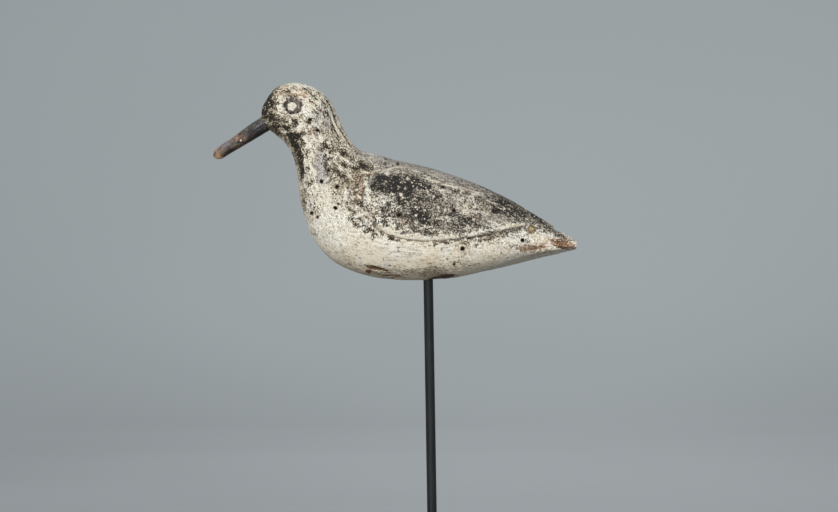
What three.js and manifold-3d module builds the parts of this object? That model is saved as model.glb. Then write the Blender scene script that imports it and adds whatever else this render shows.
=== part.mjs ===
// Carved shorebird decoy on a rod stand: a wooden body and head in one, a bill set into the face,
// a round steel rod in the belly and the plate that the rod stands in.
// Millimetres. +Z is up and the bird faces -X. The origin is on the rod's axis, under the foot.
import * as THREE from 'three';
import { mergeVertices } from 'three/addons/utils/BufferGeometryUtils.js';
import Module from 'manifold-3d';

const wasm = await Module();
wasm.setup();

// Stand
const rodDiameter = 6.35;
const rodFreeLength = 203; // from the top of the foot to the belly
const rodDepthInBelly = 30;
const footDiameter = 115;
const footThickness = 8;
const footSocketDepth = 6;
const footChamfer = 0.8;

// Bird
const bodyLength = 208; // from the face to the end of the tail; the body's shares are of this
const wingRelief = 1.2; // how far the carved wing stands out of the body
const eyeWidth = 13;
const eyeHeight = 11.4;
const eyeGrooveWidth = 3;
const eyeGrooveDepth = 0.8;

// Bill
const billLength = 40.5; // from the face to the tip
const billRootHeight = 10.6;
const billRootWidth = 8.4;
const billTipHeight = 7.8; // where the rounding of the tip begins
const billTipWidth = 6;
const billRoundLength = 5; // length of the rounded tip
const billDepthInHead = 9;
const billDroop = 32; // degrees below the level

const seatGap = 0.3; // between a piece and the bore or socket that holds it

// Each row is one slanted section of the body, from the face to the tail, in shares of bodyLength
// from the point where the rod enters: the section's lowest point (x, z), its highest point (x, z),
// its half width, and how far up the section is widest.
const sections = [
  { low: [-0.519, 0.516], high: [-0.519, 0.516], half: 0, widest: 0.5 },
  { low: [-0.506, 0.494], high: [-0.522, 0.545], half: 0.026, widest: 0.5 },
  { low: [-0.493, 0.482], high: [-0.507, 0.581], half: 0.045, widest: 0.5 },
  { low: [-0.478, 0.471], high: [-0.472, 0.62], half: 0.058, widest: 0.5 },
  { low: [-0.462, 0.457], high: [-0.413, 0.633], half: 0.066, widest: 0.52 },
  { low: [-0.445, 0.44], high: [-0.353, 0.617], half: 0.069, widest: 0.53 },
  { low: [-0.431, 0.419], high: [-0.303, 0.575], half: 0.067, widest: 0.52 },
  { low: [-0.419, 0.384], high: [-0.271, 0.509], half: 0.062, widest: 0.5 },
  { low: [-0.411, 0.341], high: [-0.243, 0.454], half: 0.064, widest: 0.5 },
  { low: [-0.405, 0.28], high: [-0.221, 0.424], half: 0.075, widest: 0.5 },
  { low: [-0.39, 0.21], high: [-0.205, 0.415], half: 0.096, widest: 0.5 },
  { low: [-0.359, 0.13], high: [-0.185, 0.409], half: 0.124, widest: 0.5 },
  { low: [-0.292, 0.059], high: [-0.15, 0.399], half: 0.152, widest: 0.5 },
  { low: [-0.185, 0.014], high: [-0.09, 0.38], half: 0.168, widest: 0.5 },
  { low: [-0.052, 0], high: [-0.007, 0.361], half: 0.171, widest: 0.49 },
  { low: [0.089, 0.007], high: [0.1, 0.326], half: 0.156, widest: 0.46 },
  { low: [0.229, 0.035], high: [0.233, 0.267], half: 0.12, widest: 0.41 },
  { low: [0.357, 0.065], high: [0.359, 0.192], half: 0.074, widest: 0.36 },
  { low: [0.47, 0.09], high: [0.472, 0.117], half: 0.034, widest: 0.42 },
];
const sectionSquareness = 2.25; // exponent of the rounded sections, 2 is an ellipse
const sectionSpacing = 6; // largest step along the body between two rings of its mesh
const ringPoints = 42;

// The wing's edge in shares of bodyLength, from its tip under, round the front and back over.
const wingEdge = [
  [0.323, 0.174], [0.234, 0.154], [0.103, 0.132], [-0.034, 0.128], [-0.125, 0.15], [-0.185, 0.205],
  [-0.199, 0.268], [-0.164, 0.332], [-0.097, 0.36], [-0.03, 0.353], [0.122, 0.286], [0.235, 0.232],
];
const wingEdgeSteps = 48;
const eyeSteps = 10; // straight pieces in each quarter of the eye's ring

const eyeCentre = [-0.419, 0.559]; // shares of bodyLength
const billRoot = [-0.509, 0.506]; // where the bill's axis leaves the face, in shares of bodyLength

const roundSteps = 36; // sides of the rod and of the bores
const footSteps = 72;
const billRings = 15;
const billRingPoints = 22;

const rodSeat = footThickness - footSocketDepth; // height of the socket's floor in the foot
const bellyHeight = footThickness + rodFreeLength;
const samePoint = 1e-5; // points nearer than this are one

// A closed body from rings of points: one ring after another, a fan on each end.
function skin(rings, firstEnd, lastEnd) {
  const count = rings[0].length;
  const points = [...rings.flat(), firstEnd, lastEnd];
  const index = [];
  for (let i = 0; i < rings.length - 1; i += 1) {
    for (let j = 0; j < count; j += 1) {
      const a = i * count + j;
      const b = i * count + ((j + 1) % count);
      index.push(a, b, a + count, b, b + count, a + count);
    }
  }
  const first = points.length - 2;
  const last = points.length - 1;
  const lastRing = (rings.length - 1) * count;
  for (let j = 0; j < count; j += 1) {
    const next = (j + 1) % count;
    index.push(first, next, j, last, lastRing + j, lastRing + next);
  }
  const geometry = new THREE.BufferGeometry().setFromPoints(points);
  geometry.setIndex(index);
  return geometry;
}

// Rounded square wave: cosine and sine raised to 2 / squareness, which keeps their signs.
function rounded(value, squareness) {
  return Math.sign(value) * Math.abs(value) ** (2 / squareness);
}

// One ring of the body: up the section line by the share s, out sideways by the half width.
function bodyRing(low, high, half, widest) {
  return Array.from({ length: ringPoints }, (_, j) => {
    const angle = (2 * Math.PI * j) / ringPoints;
    const up = rounded(Math.sin(angle), sectionSquareness);
    const s = widest + up * (up > 0 ? 1 - widest : widest);
    const y = half * rounded(Math.cos(angle), sectionSquareness);
    return new THREE.Vector3(low.x + (high.x - low.x) * s, y, low.z + (high.z - low.z) * s);
  });
}

// The body's surface, moved outwards everywhere by the distance given.
function bodyGeometry(outwards) {
  const place = ([x, z]) => new THREE.Vector3(x * bodyLength, 0, z * bodyLength);
  const lowLine = new THREE.CatmullRomCurve3(sections.map((row) => place(row.low)));
  const highLine = new THREE.CatmullRomCurve3(sections.map((row) => place(row.high)));
  const widths = new THREE.CatmullRomCurve3(
    sections.map((row) => new THREE.Vector3(row.half * bodyLength, 0, row.widest)),
  );
  const spans = sections.length - 1;
  const rings = [];
  for (let i = 0; i < spans; i += 1) {
    const reach = Math.max(
      lowLine.points[i].distanceTo(lowLine.points[i + 1]),
      highLine.points[i].distanceTo(highLine.points[i + 1]),
    );
    const steps = Math.ceil(reach / sectionSpacing);
    for (let k = i === 0 ? 1 : 0; k < steps; k += 1) {
      const t = (i + k / steps) / spans;
      const width = widths.getPoint(t);
      rings.push(bodyRing(lowLine.getPoint(t), highLine.getPoint(t), width.x, width.z));
    }
  }
  const end = widths.points[spans];
  rings.push(bodyRing(lowLine.points[spans], highLine.points[spans], end.x, end.z));
  const tailEnd = lowLine.points[spans].clone().lerp(highLine.points[spans], end.z);
  const geometry = skin(rings, lowLine.points[0], tailEnd);
  if (outwards !== 0) {
    geometry.computeVertexNormals();
    const { position, normal } = geometry.attributes;
    for (let i = 0; i < position.count; i += 1) {
      const point = new THREE.Vector3().fromBufferAttribute(position, i);
      point.addScaledVector(new THREE.Vector3().fromBufferAttribute(normal, i), outwards);
      position.setXYZ(i, point.x, point.y, point.z);
    }
    geometry.deleteAttribute('normal');
  }
  return geometry;
}

// The bill along -X from the face, with its root in the head. It tapers evenly from root to tip,
// and over the rounded tip its size falls as a quarter of an ellipse.
function billGeometry(grow) {
  const start = billDepthInHead + grow;
  const total = start + billLength + grow;
  const rings = [];
  for (let i = 0; i < billRings; i += 1) {
    const x = start - total * Math.sin((0.5 * Math.PI * i) / billRings);
    const along = THREE.MathUtils.clamp(-x / (billLength - billRoundLength), 0, 1);
    const past = THREE.MathUtils.clamp((-x - billLength + billRoundLength) / (billRoundLength + grow), 0, 1);
    const round = Math.sqrt(1 - past * past);
    const height = THREE.MathUtils.lerp(billRootHeight, billTipHeight, along) * round;
    const width = THREE.MathUtils.lerp(billRootWidth, billTipWidth, along) * round;
    rings.push(
      Array.from({ length: billRingPoints }, (_, j) => {
        const angle = (-2 * Math.PI * j) / billRingPoints;
        const y = (0.5 * width + grow) * rounded(Math.cos(angle), sectionSquareness);
        const z = (0.5 * height + grow) * rounded(Math.sin(angle), sectionSquareness);
        return new THREE.Vector3(x, y, z);
      }),
    );
  }
  return skin(rings, new THREE.Vector3(start, 0, 0), new THREE.Vector3(start - total, 0, 0));
}

// A flat shape in the XZ plane, carried right through the body from side to side.
function throughBody(shape) {
  const depth = bodyLength;
  const settings = { depth, bevelEnabled: false, curveSegments: eyeSteps };
  const geometry = new THREE.ExtrudeGeometry(shape, settings);
  return geometry.rotateX(0.5 * Math.PI).translate(0, 0.5 * depth, 0);
}

function toSolid(geometry) {
  const plain = geometry.clone();
  plain.deleteAttribute('normal');
  plain.deleteAttribute('uv');
  const merged = mergeVertices(plain, samePoint);
  return new wasm.Manifold(
    new wasm.Mesh({
      numProp: 3,
      vertProperties: new Float32Array(merged.attributes.position.array),
      triVerts: new Uint32Array(merged.index.array),
    }),
  );
}

function toGeometry(solid) {
  const mesh = solid.getMesh();
  const geometry = new THREE.BufferGeometry();
  geometry.setAttribute('position', new THREE.BufferAttribute(mesh.vertProperties, 3));
  geometry.setIndex(new THREE.BufferAttribute(mesh.triVerts, 1));
  return geometry;
}

// A round bore or rod up the Z axis from z = from to z = to.
function upright(radius, from, to) {
  const geometry = new THREE.CylinderGeometry(radius, radius, to - from, roundSteps);
  return geometry.rotateX(0.5 * Math.PI).translate(0, 0, 0.5 * (from + to));
}

function placeBill(object) {
  object.position.set(billRoot[0] * bodyLength, 0, billRoot[1] * bodyLength);
  object.rotation.y = -THREE.MathUtils.degToRad(billDroop);
  object.updateMatrix();
  return object;
}

function wingShape() {
  const tip = new THREE.Vector2(...wingEdge[0]);
  const line = new THREE.SplineCurve([...wingEdge.map((point) => new THREE.Vector2(...point)), tip]);
  return new THREE.Shape(line.getPoints(wingEdgeSteps).map((point) => point.multiplyScalar(bodyLength)));
}

function eyeShape() {
  const [x, z] = eyeCentre.map((share) => share * bodyLength);
  const ring = new THREE.Shape();
  ring.absellipse(x, z, 0.5 * eyeWidth, 0.5 * eyeHeight, 0, 2 * Math.PI);
  const middle = new THREE.Path();
  const middleReach = [0.5 * eyeWidth - eyeGrooveWidth, 0.5 * eyeHeight - eyeGrooveWidth];
  middle.absellipse(x, z, ...middleReach, 0, 2 * Math.PI);
  ring.holes.push(middle);
  return ring;
}

function birdBody() {
  const plain = toSolid(bodyGeometry(0));
  const wings = toSolid(bodyGeometry(wingRelief)).intersect(toSolid(throughBody(wingShape())));
  const eyeRings = toSolid(throughBody(eyeShape()));
  const eyeGrooves = eyeRings.subtract(toSolid(bodyGeometry(-eyeGrooveDepth)));
  const rodBore = toSolid(upright(0.5 * rodDiameter + seatGap, -bodyLength, rodDepthInBelly + seatGap));
  const socket = placeBill(new THREE.Object3D());
  const billSocket = toSolid(billGeometry(seatGap).applyMatrix4(socket.matrix));
  return toGeometry(plain.add(wings).subtract(eyeGrooves).subtract(rodBore).subtract(billSocket));
}

function standFoot() {
  const radius = 0.5 * footDiameter;
  const bore = 0.5 * rodDiameter + seatGap;
  const profile = [
    [0, 0],
    [radius - footChamfer, 0],
    [radius, footChamfer],
    [radius, footThickness - footChamfer],
    [radius - footChamfer, footThickness],
    [bore, footThickness],
    [bore, rodSeat],
    [0, rodSeat],
  ].map(([r, z]) => new THREE.Vector2(r, z));
  return new THREE.LatheGeometry(profile, footSteps).rotateX(0.5 * Math.PI);
}

function finish(colour, roughness, metalness) {
  return new THREE.MeshStandardMaterial({ color: colour, roughness, metalness });
}

function namedMesh(name, geometry, material) {
  const mesh = new THREE.Mesh(geometry, material);
  mesh.name = name;
  return mesh;
}

const wornPaint = finish(0xb9b4a6, 0.75, 0);
const darkBill = finish(0x3b3436, 0.5, 0);
const blackSteel = finish(0x2f3134, 0.45, 0.6);

const bird = new THREE.Group();
bird.position.z = bellyHeight;
bird.add(namedMesh('bird_body', birdBody(), wornPaint));
bird.add(placeBill(namedMesh('bill', billGeometry(0), darkBill)));

const group = new THREE.Group();
group.add(bird);
const rodTop = bellyHeight + rodDepthInBelly;
group.add(namedMesh('stand_rod', upright(0.5 * rodDiameter, rodSeat + seatGap, rodTop), blackSteel));
group.add(namedMesh('stand_foot', standFoot(), blackSteel));

export default group;
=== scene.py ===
import math

import bpy
import numpy as np
from mathutils import Matrix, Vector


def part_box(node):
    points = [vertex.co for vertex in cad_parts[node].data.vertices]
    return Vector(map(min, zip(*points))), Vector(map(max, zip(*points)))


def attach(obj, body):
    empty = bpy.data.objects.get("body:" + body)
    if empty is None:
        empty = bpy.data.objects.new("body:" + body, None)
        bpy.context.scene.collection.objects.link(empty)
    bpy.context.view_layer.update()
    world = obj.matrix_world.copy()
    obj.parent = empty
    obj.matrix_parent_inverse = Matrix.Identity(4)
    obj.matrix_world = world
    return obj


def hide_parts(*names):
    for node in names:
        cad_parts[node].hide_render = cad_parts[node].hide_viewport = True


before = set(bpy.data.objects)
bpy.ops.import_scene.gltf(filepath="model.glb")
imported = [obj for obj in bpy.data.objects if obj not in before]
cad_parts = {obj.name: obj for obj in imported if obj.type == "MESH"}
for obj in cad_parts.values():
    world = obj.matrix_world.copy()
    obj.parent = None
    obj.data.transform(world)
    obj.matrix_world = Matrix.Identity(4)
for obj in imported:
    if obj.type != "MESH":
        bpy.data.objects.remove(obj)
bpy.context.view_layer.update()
mm = 0.001  # every size in the dictionaries below is in millimetres
print("frame loaded")


# Surfaces

def throughPoints(points, t):
    # A smooth line through the points: a cubic between each two, whose slope at a point weighs the
    # chords on its two sides by the roots of their lengths. t counts the points from 0.
    points = np.asarray(points, float)
    ends = np.vstack([2 * points[0] - points[1], points, 2 * points[-1] - points[-2]])
    i = np.clip(np.floor(t).astype(int), 0, len(points) - 2)
    w = (t - i)[:, None]
    p0, p1, p2, p3 = ends[i], ends[i + 1], ends[i + 2], ends[i + 3]
    d0, d1, d2 = (np.sqrt(np.linalg.norm(b - a, axis=1))[:, None] for a, b in ((p0, p1), (p1, p2), (p2, p3)))
    slope1 = d1 * ((p1 - p0) / d0 - (p2 - p0) / (d0 + d1) + (p2 - p1) / d1)
    slope2 = d1 * ((p2 - p1) / d1 - (p3 - p1) / (d1 + d2) + (p3 - p2) / d2)
    square = 3 * (p2 - p1) - 2 * slope1 - slope2
    cube = 2 * (p1 - p2) + slope1 + slope2
    return p1 + w * (slope1 + w * (square + w * cube))


def rounded(wave, squareness):
    # A sine or cosine raised to 2 / squareness, its sign kept: 2 gives an ellipse, more a squarer form.
    return np.sign(wave) * np.abs(wave) ** (2 / squareness)


def ease(low, high, value):
    # 0 below low, 1 above high and 3f^2 - 2f^3 between them.
    f = np.clip((value - low) / (high - low), 0, 1)
    return f * f * (3 - 2 * f)


def softNoise(points, size, seed):
    # Random numbers from -1 to 1 on a lattice of the given size, blended between its corners.
    table = np.random.default_rng(seed).uniform(-1, 1, 4096)
    cell = np.floor(points / size).astype(np.int64)
    f = points / size - cell
    f = f * f * (3 - 2 * f)
    total = np.zeros(points.shape[:-1])
    for corner in np.ndindex(2, 2, 2):
        at = cell + np.array(corner)
        pick = (at[..., 0] * 73856093) ^ (at[..., 1] * 19349663) ^ (at[..., 2] * 83492791)
        share = np.prod(np.where(corner, f, 1 - f), axis=-1)
        total += share * table[pick & 4095]
    return total


def lineDistance(x, z, line):
    # Distance from each place to a line of straight pieces, and how far along the line its foot lies.
    nearest = np.full(x.shape, np.inf)
    along = np.zeros(x.shape)
    start = 0.0
    for a, b in zip(line[:-1], line[1:]):
        piece = b - a
        length = max(math.hypot(*piece), 1e-9)
        share = np.clip(((x - a[0]) * piece[0] + (z - a[1]) * piece[1]) / length ** 2, 0, 1)
        distance = np.hypot(x - a[0] - share * piece[0], z - a[1] - share * piece[1])
        closer = distance < nearest
        nearest = np.where(closer, distance, nearest)
        along = np.where(closer, start + share * length, along)
        start += length
    return nearest, along / start


def insideLine(x, z, line):
    # True where a level ray crosses the closed line an odd number of times.
    inside = np.zeros(x.shape, bool)
    for a, b in zip(line, np.roll(line, -1, axis=0)):
        if a[1] != b[1]:
            crosses = (a[1] > z) != (b[1] > z)
            inside ^= crosses & (x < a[0] + (z - a[1]) * (b[0] - a[0]) / (b[1] - a[1]))
    return inside


def ovals(x, z, marks, turn=1):
    # Sum of soft ovals: each is its amount * exp(-0.7 * r ** 3), where r is how far a place lies from
    # its middle, counted in its half sizes. The turn is -1 for tilts where z runs down.
    total = np.zeros(x.shape)
    for middleX, middleZ, halfLength, halfWidth, tilt, amount in marks:
        c, s = math.cos(math.radians(turn * tilt)), math.sin(math.radians(turn * tilt))
        along = ((x - middleX) * c + (z - middleZ) * s) / halfLength
        across = ((z - middleZ) * c - (x - middleX) * s) / halfWidth
        total += amount * np.exp(-0.7 * (along ** 2 + across ** 2) ** 1.5)
    return total


def ringNormals(rings):
    # Cross product of the way round a ring and the way from ring to ring, at length one.
    across = np.roll(rings, -1, axis=1) - np.roll(rings, 1, axis=1)
    normal = np.cross(across, np.gradient(rings, axis=0))
    return normal / np.maximum(np.linalg.norm(normal, axis=-1, keepdims=True), 1e-12)


def ringMesh(name, rings, first, last):
    # Rings of points joined by four-sided faces, with a fan to one point at each end.
    steps, around = rings.shape[:2]
    i, j = np.meshgrid(np.arange(steps - 1), np.arange(around), indexing="ij")
    a = (i * around + j).ravel()
    b = (i * around + (j + 1) % around).ravel()
    quads = np.stack([a, b, b + around, a + around], axis=1)
    k = np.arange(around)
    end = (steps - 1) * around
    total = steps * around
    firstFan = np.stack([np.full(around, total), (k + 1) % around, k], axis=1)
    lastFan = np.stack([np.full(around, total + 1), end + k, end + (k + 1) % around], axis=1)
    places = np.vstack([rings.reshape(-1, 3), first, last]) * mm
    mesh = bpy.data.meshes.new(name)
    mesh.from_pydata(places.tolist(), [], quads.tolist() + firstFan.tolist() + lastFan.tolist())
    mesh.shade_smooth()
    piece = bpy.data.objects.new(name, mesh)
    bpy.context.scene.collection.objects.link(piece)
    return piece


def turned(name, profile, around, centre=(0, 0)):
    # A profile of (radius, height) points carried round an upright axis, closed on the axis at both ends.
    profile = np.asarray(profile, float)
    angle = np.linspace(0, 2 * math.pi, around, endpoint=False)
    radius, height = profile[1:-1, :1], profile[1:-1, 1:]
    rings = np.stack([
        centre[0] + radius * np.cos(angle),
        centre[1] + radius * np.sin(angle),
        height + 0 * angle,
    ], axis=-1)
    first = [centre[0], centre[1], profile[0, 1]]
    last = [centre[0], centre[1], profile[-1, 1]]
    return ringMesh(name, rings, first, last)


def keepValues(piece, name, values):
    # Stores one number, or three, for each point of the mesh, where its material can read them.
    kind, field = ("FLOAT", "value") if values.ndim == 1 else ("FLOAT_VECTOR", "vector")
    store = piece.data.attributes.new(name, kind, "POINT")
    store.data.foreach_set(field, values.astype(np.float32).ravel())


def cutAway(piece, cutters):
    # Takes the cutters' forms out of the piece for good, and keeps the new edges crisp.
    for cutter in cutters:
        cut = piece.modifiers.new(cutter.name, "BOOLEAN")
        cut.operation = "DIFFERENCE"
        cut.solver = "MANIFOLD"
        cut.object = cutter
    graph = bpy.context.evaluated_depsgraph_get()
    mesh = bpy.data.meshes.new_from_object(piece.evaluated_get(graph))
    piece.modifiers.clear()
    piece.data = mesh
    mesh.set_sharp_from_angle(angle=math.radians(48))
    for cutter in cutters:
        bpy.data.objects.remove(cutter)


# Shader maths

class Wire:
    # A shader socket that can stand in a sum: each operator adds one Math node to its tree.
    def __init__(self, tree, socket=None):
        self.tree = tree
        self.socket = socket

    def node(self, kind, settings=None, inputs=None, output=0):
        # Adds any node: its type, then its settings, then the values or wires of its sockets.
        made = self.tree.nodes.new("ShaderNode" + kind)
        for name, value in (settings or {}).items():
            setattr(made, name, value)
        for place, value in (inputs or {}).items():
            if isinstance(value, Wire):
                self.tree.links.new(value.socket, made.inputs[place])
            else:
                made.inputs[place].default_value = value
        return Wire(self.tree, made.outputs[output]) if made.outputs else None

    def sum(self, operation, *terms):
        return self.node("Math", {"operation": operation}, dict(enumerate(terms)))

    def __add__(self, other):
        return self.sum("ADD", self, other)

    def __radd__(self, other):
        return self.sum("ADD", other, self)

    def __sub__(self, other):
        return self.sum("SUBTRACT", self, other)

    def __rsub__(self, other):
        return self.sum("SUBTRACT", other, self)

    def __mul__(self, other):
        return self.sum("MULTIPLY", self, other)

    def __rmul__(self, other):
        return self.sum("MULTIPLY", other, self)

    def __truediv__(self, other):
        return self.sum("DIVIDE", self, other)

    def __pow__(self, other):
        return self.sum("POWER", self, other)

    def __abs__(self):
        return self.sum("ABSOLUTE", self)


def newMaterial(name):
    material = bpy.data.materials.new(name)
    material.use_nodes = True
    material.node_tree.nodes.clear()
    return material, Wire(material.node_tree)


def finishMaterial(start, colour, roughness, normal, **fixed):
    values = {"Base Color": colour, "Roughness": roughness, "Normal": normal}
    values.update({name.replace("_", " "): value for name, value in fixed.items()})
    shader = start.node("BsdfPrincipled", inputs=values)
    start.node("OutputMaterial", inputs={"Surface": shader})


def stored(start, name, output="Fac"):
    return start.node("Attribute", {"attribute_name": name}, output=output)


def noise(place, size, detail=2.0, rough=0.5, stretch=(1, 1, 1), seed=0.0):
    # Soft random values about 0, most of them between -1 and 1. A stretch below 1 draws them out.
    moved = place.node("Mapping", inputs={
        "Vector": place,
        "Scale": stretch,
        "Location": (0.31 * seed, 0.17 * seed, 0.23 * seed),
    })
    values = {"Vector": moved, "Scale": 1 / (size * mm), "Detail": detail, "Roughness": rough}
    return (place.node("TexNoise", inputs=values) - 0.5) * 9.0


def specks(place, spacing, most, seed=0.0):
    # Round specks in about a third of the cells of the spacing, most of them small, up to a share of it.
    shift = (0.19 * seed, 0.29 * seed, 0.13 * seed)
    moved = place.node("Mapping", inputs={"Vector": place, "Location": shift})
    values = {"Vector": moved, "Scale": 1 / (spacing * mm)}
    distance = place.node("TexVoronoi", inputs=values, output="Distance")
    chance = place.node("TexVoronoi", inputs=values, output="Color")
    radius = (most + 0.12) * chance.node("SeparateColor", inputs={0: chance}) ** 3 - 0.12
    return smooth(0.07, -0.07, distance - radius)


def smooth(low, high, value):
    limits = {"Value": value, "From Min": low, "From Max": high}
    return value.node("MapRange", {"interpolation_type": "SMOOTHSTEP"}, limits)


def tint(share, first, second):
    return share.node("Mix", {"data_type": "RGBA"}, {0: share, 6: first, 7: second}, 2)


def bump(height):
    # The height is in millimetres.
    return height.node("Bump", inputs={"Height": height, "Distance": mm, "Strength": 1.0})


def seen(red, green, blue):
    # A colour as a screen shows it, 0 to 255, in the linear values that shaders take.
    shares = [value / 255 for value in (red, green, blue)]
    return (*[s / 12.92 if s < 0.04045 else ((s + 0.055) / 1.055) ** 2.4 for s in shares], 1)


# The bird's body

bird = {
    "rings": 392,
    "around": 246,
    "squareness": 2.25,
    "tailRound": 0.3,
    "tailStep": 1.7,       # drop of the ridge where the back ends above the tail
    "tailUnder": 0.4,      # more wood on the tail's underside
    "keelSlope": 0.29,     # rise of the tail's flat underside from its keel, out to the sides
    "wingRise": 0.95,
    "wingGroove": 0.45,
    "eyeGroove": 0.6,
    "knifeMarks": 0.3,
    "unevenPaint": 0.1,
    "crackDepth": 0.5,
    "bareDip": 0.35,
}

# Slanted sections from the face to the tail: lowest point, highest point, half width and how far up
# it is widest. All but the last are shares of the body's length from where the rod enters.
bodySections = [
    ((-0.519, 0.516), (-0.519, 0.516), 0, 0.5),
    ((-0.506, 0.494), (-0.522, 0.545), 0.026, 0.5),
    ((-0.493, 0.482), (-0.507, 0.581), 0.045, 0.5),
    ((-0.478, 0.471), (-0.472, 0.62), 0.058, 0.5),
    ((-0.462, 0.457), (-0.413, 0.633), 0.066, 0.52),
    ((-0.445, 0.44), (-0.353, 0.617), 0.069, 0.53),
    ((-0.431, 0.419), (-0.303, 0.575), 0.067, 0.52),
    ((-0.419, 0.384), (-0.271, 0.509), 0.062, 0.5),
    ((-0.411, 0.341), (-0.243, 0.454), 0.064, 0.5),
    ((-0.405, 0.28), (-0.221, 0.424), 0.075, 0.5),
    ((-0.39, 0.21), (-0.205, 0.415), 0.096, 0.5),
    ((-0.359, 0.13), (-0.185, 0.409), 0.124, 0.5),
    ((-0.292, 0.059), (-0.15, 0.399), 0.152, 0.5),
    ((-0.185, 0.014), (-0.09, 0.38), 0.168, 0.5),
    ((-0.052, 0), (-0.007, 0.361), 0.171, 0.49),
    ((0.089, 0.007), (0.1, 0.326), 0.156, 0.46),
    ((0.229, 0.035), (0.233, 0.267), 0.12, 0.41),
    ((0.357, 0.065), (0.359, 0.192), 0.074, 0.36),
    ((0.47, 0.09), (0.472, 0.117), 0.034, 0.42),
]

# The wing's edge in the same shares, from its tip under, round the front and back over.
wingEdge = [
    (0.323, 0.174), (0.234, 0.154), (0.103, 0.132), (-0.034, 0.128), (-0.125, 0.15), (-0.185, 0.205),
    (-0.199, 0.268), (-0.164, 0.332), (-0.097, 0.36), (-0.03, 0.353), (0.122, 0.286), (0.235, 0.232),
    (0.323, 0.174),
]

eye = {
    "centre": (-87.15, 116.25),
    "outer": (6.5, 5.7),      # half width and half height of the cut ring
    "inner": (3.5, 2.7),
    "paint": (5.9, 5.5),      # the same of the ring's paint
    "white": (3.0, 2.6),
    "whiteOff": (-0.7, -0.6),  # how far its pale middle lies off the centre
}

napeCrack = [
    (-65.0, 119.8), (-62.3, 115.5), (-60.6, 109.7), (-58.4, 103.2),
    (-55.6, 98.8), (-52.1, 93.5), (-48.9, 88.5),
]
knot = (68.3, 32.3, 2.3)                     # place and radius

# How the picture shows the bird, with its pixels counted from the upper left corner.
picture = {
    "size": (838, 512),
    "pixel": 0.66146,          # millimetres of the bird that one pixel shows
    "lean": 0.935,             # degrees by which the picture is turned
    "distance": 2400.0,        # millimetres from the camera to the bird's middle
    "rodEnters": (428.2, 280.1),
}

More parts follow.
